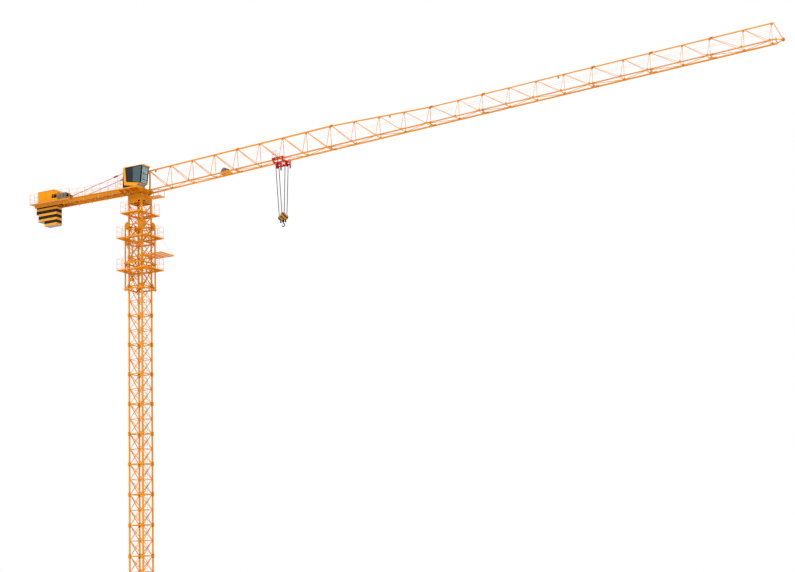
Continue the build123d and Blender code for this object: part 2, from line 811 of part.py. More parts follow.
# Bracing between the bottom chords: a cross bar at each panel point and a diagonal between
bracing_clear = jib_width - bottom_chord
with BuildPart() as jib_bottom_bracing:
    for group_name, start, end, panels, rank in group_panels:
        with BuildSketch(jib_plane.offset(-bracing_depth / 2)):
            for panel in panels:
                cross_along = node_place(panel) + bottom_node_lead
                run = node_place(panel) - node_place(panel - 1)
                with Locations((cross_along, 0)):
                    Rectangle(bracing_width, jib_width)
                flip = 1 if panel % 2 else -1
                with Locations((cross_along - run / 2, 0)):
                    Rectangle(
                        hypot(run, bracing_clear),
                        bracing_width,
                        rotation=flip * degrees(atan2(bracing_clear, run)),
                    )
            with Locations(((start + end) / 2, 0)):
                Rectangle(end - start - 2 * joint_gap, bracing_clear, mode=Mode.INTERSECT)
        extrude(amount=bracing_depth)
save(jib_bottom_bracing, "jib_bottom_bracing")

# Rails on the outer sides of the bottom chords, where the trolley's wheels run
rail_inner = jib_width / 2 + bottom_chord / 2
with BuildPart() as trolley_rails:
    with BuildSketch(jib_section_plane(joint_gap)):
        with Locations((0, -bottom_chord / 2 + trolley_rail_thickness / 2)):
            with GridLocations(2 * rail_inner + trolley_rail_width, 0, 2, 1):
                Rectangle(trolley_rail_width, trolley_rail_thickness)
    extrude(amount=jib_end - joint_gap)
save(trolley_rails, "trolley_rails")

# Tip frame with its rope sheave, and the post that holds the jib's ropes
tip_start = jib_end + joint_gap
tip_end = tip_start + tip_overhang
with BuildPart() as jib_tip:
    for side in (-1, 1):
        foot = on_jib(tip_start, side * jib_width / 2, 0)
        outer = on_jib(tip_end, side * tip_frame_size, 0)
        head = on_jib(tip_start, side * tip_frame_size / 2, slim_height)
        add(bar(foot, outer, tip_frame_size, across=(0, 0, 1)))
        add(bar(head, outer, tip_frame_size, across=(0, 1, 0)))
    with BuildSketch(jib_side_plane(-tip_sheave_width / 2)):
        with Locations((tip_end, 0)):
            Circle(tip_sheave_radius)
    extrude(amount=-tip_sheave_width)
    with BuildSketch(jib_section_plane(tip_start)):
        Rectangle(tip_cut_size, tip_cut_size)
    extrude(amount=-tip_cut_length, mode=Mode.SUBTRACT)
    with BuildSketch(jib_section_plane(tip_start)):
        Rectangle(jib_width, tip_frame_size)
        with Locations((0, rope_up / 2)):
            Rectangle(rope_spread + tip_frame_size, rope_up + tip_frame_size)
    extrude(amount=tip_frame_size)
save(jib_tip, "jib_tip")

# Trolley winch on its tray inside the jib
with BuildPart() as trolley_winch:
    with BuildSketch(jib_plane.offset(bracing_depth / 2)):
        with Locations((winch_along + winch_length / 2, 0)):
            Rectangle(winch_tray_length, bracing_clear)
    extrude(amount=winch_tray)
    with BuildSketch(jib_side_plane(-winch_width / 2)):
        with BuildLine():
            tray_top = bracing_depth / 2 + winch_tray
            Polyline(
                (winch_along, tray_top),
                (winch_along + winch_length, tray_top),
                (winch_along + winch_length, tray_top + winch_front_height),
                (winch_along + winch_peak_along, tray_top + winch_height),
                (winch_along + winch_back_along, tray_top + winch_back_height),
                close=True,
            )
        make_face()
    extrude(amount=-winch_width)
save(trolley_winch, "trolley_winch")

# Ropes along the inside of the jib, from the winch's front to the post at the tip
with BuildPart() as jib_ropes:
    rope_start = winch_along + winch_length
    with BuildSketch(jib_section_plane(rope_start)):
        with Locations((0, rope_up)):
            with GridLocations(rope_spread, 0, 2, 1):
                Rectangle(rope_size, rope_size)
    extrude(amount=tip_start - rope_start)
save(jib_ropes, "jib_ropes")

# Rope guide brackets that hang under the top chord
with BuildPart() as rope_guides:
    for along, chord_size in zip(guide_places, top_chord_sizes):
        hang = chord_height(along + guide_length) - chord_size / 2 - joint_gap
        with BuildSketch(jib_section_plane(along)):
            with Locations((0, hang - guide_drop / 2)):
                Rectangle(guide_length, guide_drop)
        extrude(amount=guide_length)
save(rope_guides, "rope_guides")

# Counter-jib beams with cross ties between them
beam_bottom = counter_beam_top - counter_beam_height
beam_front_x = -turntable_top / 2
with BuildPart() as counter_jib_beams:
    with BuildSketch(Plane.XY.offset(beam_bottom)):
        with Locations(((beam_front_x + counter_rear_x) / 2, 0)):
            with GridLocations(0, counter_pitch, 1, 2):
                Rectangle(beam_front_x - counter_rear_x, counter_beam_width)
    extrude(amount=counter_beam_height)
save(counter_jib_beams, "counter_jib_beams")

counter_clear = counter_pitch - counter_beam_width
with BuildPart() as counter_jib_ties:
    with BuildSketch(Plane.XY.offset(beam_bottom)):
        for tie_x in evenly(beam_front_x - counter_tie_size, counter_deck_rear_x, counter_tie_spacing):
            with Locations((tie_x, 0)):
                Rectangle(counter_tie_size, counter_clear)
    extrude(amount=counter_tie_size)
save(counter_jib_ties, "counter_jib_ties")

# Walkway deck on the beams
with BuildPart() as counter_jib_deck:
    with BuildSketch(Plane.XY.offset(counter_beam_top)):
        with Locations(((beam_front_x + counter_deck_rear_x) / 2 - joint_gap, 0)):
            Rectangle(beam_front_x - counter_deck_rear_x - 2 * joint_gap, counter_pitch + counter_beam_width)
    extrude(amount=counter_deck_thickness)
save(counter_jib_deck, "counter_jib_deck")

# Railings along both edges of the walkway
with BuildPart() as counter_jib_railings:
    walkway_top = counter_beam_top + counter_deck_thickness
    rail_run = counter_rail_front_x - counter_rail_rear_x
    rail_middle = (counter_rail_front_x + counter_rail_rear_x) / 2
    for angle, facing in ((0, 1), (180, -1)):
        plane = side_plane((counter_pitch + counter_beam_width) / 2 - rail_bar, angle)
        panel = railing_sketch(
            plane, rail_run, walkway_top, counter_post_spacing, counter_rail_height, facing * rail_middle
        )
        extrude(panel, amount=rail_bar)
save(counter_jib_railings, "counter_jib_railings")

# Red tie rods from the walkway's end up to the tower head, each with a turnbuckle
with BuildPart() as tie_rods:
    rod_bottom = Vector(tie_rear_x, 0, walkway_top + tie_rear_rise)
    rod_top = Vector(head_peak_x - head_peak_length / 2, 0, head_peak + head_member / 2)
    rod_run = (rod_top - rod_bottom).normalized()
    for side in (-1, 1):
        shift = Vector(0, side * tie_y, 0)
        buckle_end = rod_top - rod_run * turnbuckle_front
        rod = bar(tuple(rod_bottom + shift), tuple(rod_top + shift), tie_rod, across=(0, 1, 0))
        buckle = bar(
            tuple(buckle_end - rod_run * turnbuckle_length + shift),
            tuple(buckle_end + shift),
            turnbuckle_size,
            across=(0, 1, 0),
        )
        lug = bar(
            (tie_rear_x, side * tie_y, walkway_top),
            (tie_rear_x, side * tie_y, walkway_top + tie_rear_rise + tie_lug / 2),
            tie_lug,
        )
        add([rod, buckle, lug])
    add(head_beams.part, mode=Mode.SUBTRACT)
save(tie_rods, "tie_rods")

# Rear platform outside the beams and behind them
beam_outer = (counter_pitch + counter_beam_width) / 2
with BuildPart() as rear_platform:
    strip_width = rear_deck_width / 2 - beam_outer
    with BuildSketch(Plane.XY.offset(rear_deck_level)):
        with Locations(((rear_deck_front_x + counter_rear_x) / 2, 0)):
            with GridLocations(0, 2 * beam_outer + strip_width, 1, 2):
                Rectangle(rear_deck_front_x - counter_rear_x, strip_width)
        with Locations(((counter_rear_x + rear_deck_rear_x) / 2, 0)):
            Rectangle(counter_rear_x - rear_deck_rear_x - 2 * joint_gap, rear_deck_width)
    extrude(amount=rear_deck_thickness)
save(rear_platform, "rear_platform")

# Counterweight slabs, each hung by a bar across the two beams
with BuildPart() as counterweights:
    for place, drop in enumerate(slab_drops):
        slab_x = slab_front_x - (place + 0.5) * slab_thickness
        with BuildSketch(Plane.XY.offset(beam_bottom - drop)):
            with Locations((slab_x, 0)):
                Rectangle(slab_thickness - joint_gap, slab_width)
        extrude(amount=counter_beam_height + drop)
        with BuildSketch(Plane.XY.offset(counter_beam_top)):
            with Locations((slab_x, 0)):
                Rectangle(slab_thickness / 2, counter_pitch + counter_beam_width)
        extrude(amount=hanger_height)
save(counterweights, "counterweights")

# Machinery house over the counterweights, with a sloping front roof
house_bottom = counter_beam_top + hanger_height
with BuildPart() as machinery_house:
    with BuildSketch(Plane.XZ.offset(house_width / 2)):
        with BuildLine():
            Polyline(
                (house_rear_x, house_bottom),
                (house_front_x, house_bottom),
                (house_front_x, house_bottom + house_height - house_roof_drop),
                (house_front_x - house_roof_run, house_bottom + house_height),
                (house_rear_x, house_bottom + house_height),
                close=True,
            )
        make_face()
    extrude(amount=-house_width)
save(machinery_house, "machinery_house")

# Hoist winch: base, drum, and the motor in front of it
with BuildPart() as hoist_winch:
    hoist_mid_x = (hoist_front_x + hoist_rear_x) / 2
    with BuildSketch(Plane.XY.offset(counter_beam_top + counter_deck_thickness)):
        with Locations((hoist_mid_x, 0)):
            Rectangle(hoist_front_x - hoist_rear_x, counter_pitch)
    extrude(amount=hoist_base)
    drum_z = counter_beam_top + counter_deck_thickness + hoist_base + hoist_drum_radius
    with BuildSketch(Plane.XZ.offset(-hoist_drum_length / 2)):
        with Locations((hoist_rear_x + hoist_drum_radius, drum_z)):
            RegularPolygon(hoist_drum_radius, drum_sides)
    extrude(amount=hoist_drum_length)
    with BuildSketch(Plane.XY.offset(counter_beam_top + counter_deck_thickness + hoist_base)):
        with Locations((hoist_front_x - hoist_motor_size / 2, -hoist_motor_size / 2)):
            Rectangle(hoist_motor_length, hoist_motor_size)
    extrude(amount=hoist_motor_size)
save(hoist_winch, "hoist_winch")

# Trolley: open side plates outside the rails, and cross bars and sheave arms below the chords
plate_inner = rail_inner + trolley_rail_width + trolley_side_gap
trolley_start = trolley_along - trolley_length / 2
window_length = trolley_length - 2 * trolley_plate_cut - 2 * trolley_plate_member
window_height = trolley_plate_top - trolley_plate_bottom - 2 * trolley_plate_member
with BuildPart() as trolley_frame:
    for side in (-1, 1):
        plate_face = side * plate_inner if side > 0 else side * (plate_inner + trolley_plate)
        with BuildSketch(jib_side_plane(plate_face)):
            with BuildLine():
                Polyline(
                    (trolley_start, trolley_plate_top),
                    (trolley_start + trolley_length, trolley_plate_top),
                    (trolley_start + trolley_length - trolley_plate_cut, trolley_plate_bottom),
                    (trolley_start + trolley_plate_cut, trolley_plate_bottom),
                    close=True,
                )
            make_face()
            with Locations((trolley_along, (trolley_plate_top + trolley_plate_bottom) / 2)):
                Rectangle(window_length, window_height, mode=Mode.SUBTRACT)
        extrude(amount=-trolley_plate)
    with BuildSketch(jib_side_plane(-plate_inner)):
        with Locations((trolley_along, trolley_cross_up)):
            with GridLocations(sheave_spacing, 0, 2, 1):
                Rectangle(trolley_cross_size, trolley_cross_size)
    extrude(amount=-2 * plate_inner)
    arm_face = sheave_width / 2 + sheave_arm_gap
    for side in (-1, 1):
        arm_side = arm_face if side > 0 else -arm_face - sheave_arm
        with BuildSketch(jib_side_plane(arm_side)):
            with Locations((trolley_along, (trolley_cross_up + sheave_up) / 2)):
                with GridLocations(sheave_spacing, 0, 2, 1):
                    Rectangle(sheave_arm_width, trolley_cross_up - sheave_up + sheave_arm_width)
            with Locations((trolley_along, sheave_up)):
                Rectangle(sheave_spacing, sheave_arm_width / 2)
        extrude(amount=-sheave_arm)
save(trolley_frame, "trolley_frame")

# Trolley wheels on the rails, and the rope sheaves between the arms
wheel_up = -bottom_chord / 2 + trolley_rail_thickness + running_gap + wheel_radius
wheel_inner = rail_inner + wheel_gap
with BuildPart() as trolley_wheels:
    for side in (-1, 1):
        for end in (-1, 1):
            wheel_place = (trolley_along + end * wheel_base / 2, wheel_up)
            with BuildSketch(jib_side_plane(side * wheel_inner)):
                with Locations(wheel_place):
                    Circle(wheel_radius)
            extrude(amount=-side * wheel_width)
            with BuildSketch(jib_side_plane(side * (wheel_inner + wheel_width))):
                with Locations(wheel_place):
                    Circle(wheel_axle)
            extrude(amount=-side * (plate_inner - wheel_inner - wheel_width))
save(trolley_wheels, "trolley_wheels")

with BuildPart() as trolley_sheaves:
    with BuildSketch(jib_side_plane(-sheave_width / 2)):
        with Locations((trolley_along, sheave_up)):
            with GridLocations(sheave_spacing, 0, 2, 1):
                Circle(sheave_radius)
    extrude(amount=-sheave_width)
    with BuildSketch(jib_side_plane(-arm_face)):
        with Locations((trolley_along, sheave_up)):
            with GridLocations(sheave_spacing, 0, 2, 1):
                Circle(wheel_axle)
    extrude(amount=-2 * arm_face)
save(trolley_sheaves, "trolley_sheaves")

# Service basket on the trolley's near side
with BuildPart() as trolley_basket:
    basket_near = -(plate_inner + trolley_plate + basket_width)
    basket_start = trolley_along + basket_lead
    with BuildSketch(jib_plane):
        with Locations((basket_start + basket_length / 2, basket_near + basket_width / 2)):
            Rectangle(basket_length, basket_width)
    extrude(amount=basket_bar)
    with BuildSketch(jib_side_plane(basket_near)):
        with Locations((basket_start + basket_length / 2, basket_height / 2)):
            Rectangle(basket_length, basket_height)
            with GridLocations(0, basket_height / 2, 1, 2):
                Rectangle(
                    basket_length - 2 * basket_bar, basket_height / 2 - basket_bar * 1.5, mode=Mode.SUBTRACT
                )
    extrude(amount=-basket_bar)
save(trolley_basket, "trolley_basket")

# Hook block: two cheeks over a pair of sheaves, a crosshead and a swivel neck
trolley_sheave = on_jib(trolley_along, 0, sheave_up)
block_x = trolley_sheave[0]
block_z = trolley_sheave[2] - block_drop
with BuildPart() as hook_block:
    for side in (-1, 1):
        cheek_near = block_sheave_width / 2 + sheave_arm_gap
        with BuildSketch(Plane.XZ.offset(-side * cheek_near)):
            with BuildLine():
                Polyline(
                    (block_x - block_length / 2, block_z - block_height),
                    (block_x + block_length / 2, block_z - block_height),
                    (block_x + block_length / 2, block_z + block_shoulder),
                    (block_x + block_top_length / 2, block_z + block_rise),
                    (block_x - block_top_length / 2, block_z + block_rise),
                    (block_x - block_length / 2, block_z + block_shoulder),
                    close=True,
                )
            make_face()
        extrude(amount=-side * block_cheek)
    crosshead_height = block_height - block_sheave_radius - 2 * joint_gap - block_cheek
    with BuildSketch(Plane.XY.offset(block_z - block_height)):
        with Locations((block_x, 0)):
            Rectangle(block_top_length, 2 * cheek_near)
    extrude(amount=crosshead_height)
    with BuildSketch(Plane.XY.offset(block_z - block_height)):
        with Locations((block_x, 0)):
            Circle(block_neck_radius)
    extrude(amount=-block_neck)
    with BuildSketch(Plane.XZ.offset(-block_sheave_width / 2)):
        with Locations((block_x, block_z)):
            with GridLocations(block_sheave_spacing, 0, 2, 1):
                Circle(block_sheave_radius)
    extrude(amount=block_sheave_width)
    with BuildSketch(Plane.XZ.offset(-cheek_near)):
        with Locations((block_x, block_z)):
            with GridLocations(block_sheave_spacing, 0, 2, 1):
                Circle(wheel_axle)
    extrude(amount=2 * cheek_near)
save(hook_block, "hook_block")

# Four falls of hoist rope between the trolley's sheaves and the block's
with BuildPart() as hoist_ropes:
    rope_top = trolley_sheave[2]
    falls = []
    for sheave_side in (-1, 1):
        for rim in (-1, 1):
            upper_x = block_x + sheave_side * sheave_spacing / 2
            upper_x = upper_x + rim * (sheave_radius + fall_radius + joint_gap)
            lower_x = block_x + sheave_side * block_sheave_spacing / 2
            lower_x = lower_x + rim * (block_sheave_radius + fall_radius + running_gap)
            falls.append(bar((lower_x, 0, block_z), (upper_x, 0, rope_top), 2 * fall_radius, across=(0, 1, 0)))
    add(falls)
save(hoist_ropes, "hoist_ropes")

# Hook on its swivel, turning under the block's neck
hook_top = block_z - block_height - block_neck - hook_gap
with BuildPart() as hook:
    with BuildSketch(Plane.XY.offset(hook_top)):
        with Locations((block_x, 0)):
            Circle(hook_bar / 2)
    extrude(amount=-hook_shank)
    bend = hook_throat + hook_bar / 2
    centre_z = hook_top - hook_shank - hook_throat
    with BuildSketch(Plane.XZ):
        with Locations((block_x, centre_z)):
            Circle(bend + hook_bar / 2)
            Circle(bend - hook_bar / 2, mode=Mode.SUBTRACT)
            with Locations((-bend, bend)):
                Rectangle(2 * bend, 2 * bend, mode=Mode.SUBTRACT)
    extrude(amount=hook_bar / 2, both=True)
save(hook, "hook")
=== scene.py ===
from math import cos, pi, radians, sin

import bpy
import numpy as np
from mathutils import Matrix


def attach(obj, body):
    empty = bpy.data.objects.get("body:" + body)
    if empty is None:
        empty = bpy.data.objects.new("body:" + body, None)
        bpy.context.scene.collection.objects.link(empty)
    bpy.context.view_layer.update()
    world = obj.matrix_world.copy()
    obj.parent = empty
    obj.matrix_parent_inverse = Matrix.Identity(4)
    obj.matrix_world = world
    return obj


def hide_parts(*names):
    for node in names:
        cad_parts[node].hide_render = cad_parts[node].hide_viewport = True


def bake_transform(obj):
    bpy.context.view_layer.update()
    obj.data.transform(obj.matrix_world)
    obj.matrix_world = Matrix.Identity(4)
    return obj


# A flat-top tower crane at 1:10, in metres: +X out along the jib, +Z up, the mast's axis at the origin.
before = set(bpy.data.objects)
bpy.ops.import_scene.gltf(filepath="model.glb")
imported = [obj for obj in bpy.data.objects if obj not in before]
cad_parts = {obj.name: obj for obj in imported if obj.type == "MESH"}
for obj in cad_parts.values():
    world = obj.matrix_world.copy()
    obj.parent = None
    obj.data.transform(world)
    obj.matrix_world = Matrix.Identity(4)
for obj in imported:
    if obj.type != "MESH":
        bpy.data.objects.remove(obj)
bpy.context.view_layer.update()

# Directions, and the signs of the two sides as a row and as a column
x_way, y_way, z_way = np.eye(3)
both = np.array([-1.0, 1.0])
each_side = both[:, None]

# Mast and cage
base_top = 0.030
mast_half = 0.080
leg_size = 0.015
section_height = 0.300
section_count = 13
mast_top = 4.140
top_bay = 0.120
side_half = mast_half - leg_size / 2
mast_face = mast_half + leg_size / 2
collar_size = 0.019
collar_height = 0.040
brace_leg = 0.0060
brace_wall = 0.0014
ladder_half = 0.022
ladder_y = 0.075
rung_spacing = 0.030
cage_half = 0.107
cage_leg = 0.012
cage_bottom = 3.250
cage_top = 3.965
cage_levels = np.array([3.268, 3.534, 3.745, 3.934])
deck_thickness = 0.006
cage_hole = cage_half + cage_leg / 2
# Each deck has its level, half its length along X, half its width and half its hole round the mast
top_deck = (4.050, 0.125, 0.165, mast_face)
cage_decks = ((3.465, 0.186, 0.150, cage_hole), (3.800, 0.186, 0.150, cage_hole))
rail_height = 0.115
rail_radius = 0.0013
post_radius = 1.3 * rail_radius
bar_radius = 0.9 * rail_radius
rail_spacing = 0.075
feed_level = 3.590
feed_reach = 0.339
seat_top = 4.255
deck_top = 4.3055
peak = np.array([0.032, 0.0, 4.5445])

# Jib
jib_rise = radians(2.66)
jib_root = np.array([0.108, 0.0, 4.275])
jib_out = np.array([cos(jib_rise), 0.0, sin(jib_rise)])
jib_up = np.array([-sin(jib_rise), 0.0, cos(jib_rise)])
panel_length = 0.2689
panel_count = 24
joint_lead = 0.034
deep_height = 0.220
slim_height = 0.165
chord_half = 0.0525
bottom_chord = 0.012
chord_sizes = (0.0120, 0.0110, 0.0092)
boom_sizes = np.array([0.0140, 0.0120, 0.0105])
diagonal_radii = (0.0033, 0.0027, 0.0019)
post_radii = (0.0028, 0.0024, 0.0018)
taper_panels = (8, 12)
long_panels = (13, 19, 21, 23)
long_panel_extra = 0.026
section_panels = np.array([4, 8, 12, 14, 18, 20, 22])
taper_start, taper_end = np.array(taper_panels) * panel_length + joint_lead
jib_end = panel_count * panel_length + joint_lead

# Counter-jib
beam_front = -0.100
beam_rear = -1.326
beam_bottom = 4.300
beam_top = 4.340
beam_y = 0.070
walk_rear = -1.040
walk_top = 4.344

# Trolley and hook block
trolley_along = 1.604
sheave_up = -0.060
sheave_half = 0.053
block_drop = 0.515


def unit(vectors):
    """Vectors cut to length one."""
    return vectors / np.linalg.norm(vectors, axis=-1, keepdims=True)


def join(*shapes):
    """One shape from several: each shape's face numbers are moved on by the points before it."""
    offsets = np.cumsum([0] + [len(points) for points, faces in shapes])
    points = np.concatenate([points for points, faces in shapes])
    faces = [block + offset for shape, offset in zip(shapes, offsets) for block in shape[1]]
    return points, faces


def spots(x, y, z):
    """Points from rows or grids of x, y and z, where a single number serves the whole row."""
    grids = np.broadcast_arrays(*np.atleast_1d(x, y, z))
    return np.stack(grids, axis=-1).astype(float).reshape(-1, 3)


def carry(profile, starts, ends, up=z_way):
    """A flat profile carried in a straight line from each start to its end, with both ends closed.

    A point is start + share * (end - start) + x * side + y * top, where side is square to the line and to up,
    and top is square to the line and the side.
    """
    starts, ends = np.broadcast_arrays(np.asarray(starts, float), np.asarray(ends, float))
    starts, ends = starts.reshape(-1, 3), ends.reshape(-1, 3)
    along = unit(ends - starts)
    side = unit(np.cross(along, np.broadcast_to(np.asarray(up, float), along.shape)))
    top = np.cross(side, along)
    across = profile[None, :, :1] * side[:, None] + profile[None, :, 1:] * top[:, None]
    points = np.stack([starts[:, None] + across, ends[:, None] + across], axis=1).reshape(-1, 3)
    ring = np.arange(len(profile))
    first = np.arange(len(starts))[:, None] * 2 * len(profile) + ring
    after = np.roll(first, -1, axis=1)
    walls = np.stack([first, first + len(profile), after + len(profile), after], axis=-1).reshape(-1, 4)
    return points, [walls, first, first[:, ::-1] + len(profile)]


def turned(profile, centres, axis, sides=16):
    """A profile of (radius, height) turned round an axis through each centre.

    A point is centre + height * axis + radius * (cos t * u + sin t * v), with u and v square to the axis.
    """
    centres = np.asarray(centres, float).reshape(-1, 3)
    profile = np.asarray(profile, float)
    axis = unit(np.asarray(axis, float))
    helper = z_way if abs(axis[2]) < 0.9 else x_way
    u = unit(np.cross(helper, axis))
    v = np.cross(axis, u)
    t = np.arange(sides) * 2 * pi / sides
    ring = np.cos(t)[:, None] * u + np.sin(t)[:, None] * v
    body = profile[:, None, :1] * ring[None] + profile[:, None, 1:] * axis
    points = (centres[:, None, None] + body[None]).reshape(-1, 3)
    count = len(profile)
    grid = np.arange(count * sides).reshape(count, sides)
    after = np.roll(grid, -1, axis=1)
    walls = np.stack([grid[:-1], after[:-1], after[1:], grid[1:]], axis=-1).reshape(-1, 4)
    steps = np.arange(len(centres))[:, None] * count * sides
    walls = (steps[:, :, None] + walls[None]).reshape(-1, 4)
    return points, [walls, steps + grid[0, ::-1], steps + grid[-1]]


def swept(path, radii, flat, sides=8):
    """A round profile carried along a flat path, its ends closed.

    A point is path + radius * (cos t * flat + sin t * inward), where flat is square to the path's plane and
    inward is square to flat and to the path.
    """
    path = np.asarray(path, float)
    radii = np.broadcast_to(np.asarray(radii, float), len(path))
    tangent = unit(np.gradient(path, axis=0))
    flat = np.broadcast_to(unit(np.asarray(flat, float)), path.shape)
    inward = np.cross(tangent, flat)
    t = np.arange(sides) * 2 * pi / sides
    ring = np.cos(t)[None, :, None] * flat[:, None] + np.sin(t)[None, :, None] * inward[:, None]
    points = (path[:, None] + radii[:, None, None] * ring).reshape(-1, 3)
    grid = np.arange(len(path) * sides).reshape(len(path), sides)
    after = np.roll(grid, -1, axis=1)
    walls = np.stack([grid[:-1], after[:-1], after[1:], grid[1:]], axis=-1).reshape(-1, 4)
    return points, [walls, grid[:1, ::-1], grid[-1:]]


def plates(outline, origins, x_dir, y_dir, thickness):
    """Flat plates: an outline in x and y, carried through the thickness half to each side of each origin."""
    x_dir, y_dir = np.asarray(x_dir, float), np.asarray(y_dir, float)
    through = -np.cross(x_dir, y_dir) * thickness / 2
    origins = np.asarray(origins, float).reshape(-1, 3)
    return carry(np.asarray(outline, float), origins - through, origins + through, up=y_dir)


def round_profile(radius, sides=12):
    """Points of a circle."""
    t = np.arange(sides) * 2 * pi / sides
    return radius * np.stack([np.cos(t), np.sin(t)], axis=1)


def rounded(outline, rounds):
    """An outline with its corners cut in rounds: each edge keeps its points at one and three quarters."""
    outline = np.asarray(outline, float)
    for step in range(rounds):
        after = np.roll(outline, -1, axis=0)
        quarters = [0.75 * outline + 0.25 * after, 0.25 * outline + 0.75 * after]
        outline = np.stack(quarters, axis=1).reshape(-1, 2)
    return outline


def box_profile(width, height, chamfer=0.0008):
    """Rectangle with its corners cut, eight points."""
    x, y, c = width / 2, height / 2, chamfer
    return np.array(
        [(c - x, -y), (x - c, -y), (x, c - y), (x, y - c), (x - c, y), (c - x, y), (-x, y - c), (-x, c - y)]
    )


def angle_profile(leg, wall):
    """L section: one leg flat under the top line, the other hanging from its left end."""
    x = leg / 2
    return np.array([(-x, -leg), (wall - x, -leg), (wall - x, -wall), (x, -wall), (x, 0), (-x, 0)])


def beam_profile(width, height, flange, web):
    """I section of twelve points."""
    x, y, w = width / 2, height / 2, web / 2
    return np.array(
        [(-x, -y), (x, -y), (x, flange - y), (w, flange - y), (w, y - flange), (x, y - flange),
         (x, y), (-x, y), (-x, y - flange), (-w, y - flange), (-w, flange - y), (-x, flange - y)]
    )


def box_between(low, high, chamfer=0.0008):
    """A block between two corners, with the edges along X cut."""
    low, high = np.asarray(low, float), np.asarray(high, float)
    middle, size = (low + high) / 2, high - low
    start = (low[0], middle[1], middle[2])
    return carry(box_profile(size[1], size[2], chamfer), start, (high[0], middle[1], middle[2]))


def bolts(centres, axis, size):
    """Hexagon heads with a low washer under each: radii and heights in shares of the size."""
    shares = np.array([(1.25, 0), (1.25, 0.25), (1, 0.25), (1, 0.9), (0.7, 1)])
    return turned(size * shares, centres, axis, sides=6)


def pins(radius, half, centres, axis, sides=12):
    """Plain round pins that reach half their length to both sides of each centre."""
    core = 0.6 * radius
    return turned([(core, -half), (radius, -half), (radius, half), (core, half)], centres, axis, sides)


def bars_x(profile, low, high, y, z):
    """Bars along X between two places, at rows or grids of y and z."""
    return carry(profile, spots(low, y, z), spots(high, y, z))


def bars_y(profile, low, high, x, z):
    """Bars along Y between two places, at rows or grids of x and z."""
    return carry(profile, spots(x, low, z), spots(x, high, z))


def bars_z(profile, low, high, x, y):
    """Upright bars between two levels, at rows or grids of x and y."""
    return carry(profile, spots(x, y, low), spots(x, y, high), y_way)


def twin_blocks(low, high, chamfer=0.0008):
    """A block between two corners, and its mirror image with y turned to -y."""
    (low_x, low_y, low_z), (high_x, high_y, high_z) = low, high
    mirrored = box_between((low_x, -high_y, low_z), (high_x, -low_y, high_z), chamfer)
    return join(box_between(low, high, chamfer), mirrored)


def rectangle(low, high):
    """Outline of a rectangle between two corners."""
    return [low, (high[0], low[1]), high, (low[0], high[1])]


def wound_drum(hub, flange, half, inner, crests, reach, turns):
    """Profile of a drum with rope on it: flanged ends, and between them crest and hollow by turns."""
    places = np.linspace(-reach, reach, turns)
    radii = np.where(np.arange(turns) % 2 == 0, *crests)
    near = [(hub, -half), (flange, -half), (flange, -inner)]
    return [*near, *zip(radii, places), (flange, inner), (flange, half), (hub, half)]


# Materials: each reads Object coordinates and varies in colour and roughness, and all but the glass also in
# relief
def srgb(red, green, blue):
    """Linear colour from screen values of 0 to 255: low values are divided, the rest raised to 2.4."""
    share = np.array([red, green, blue]) / 255
    linear = np.where(share <= 0.04045, share / 12.92, ((share + 0.055) / 1.055) ** 2.4)
    return (*linear, 1.0)


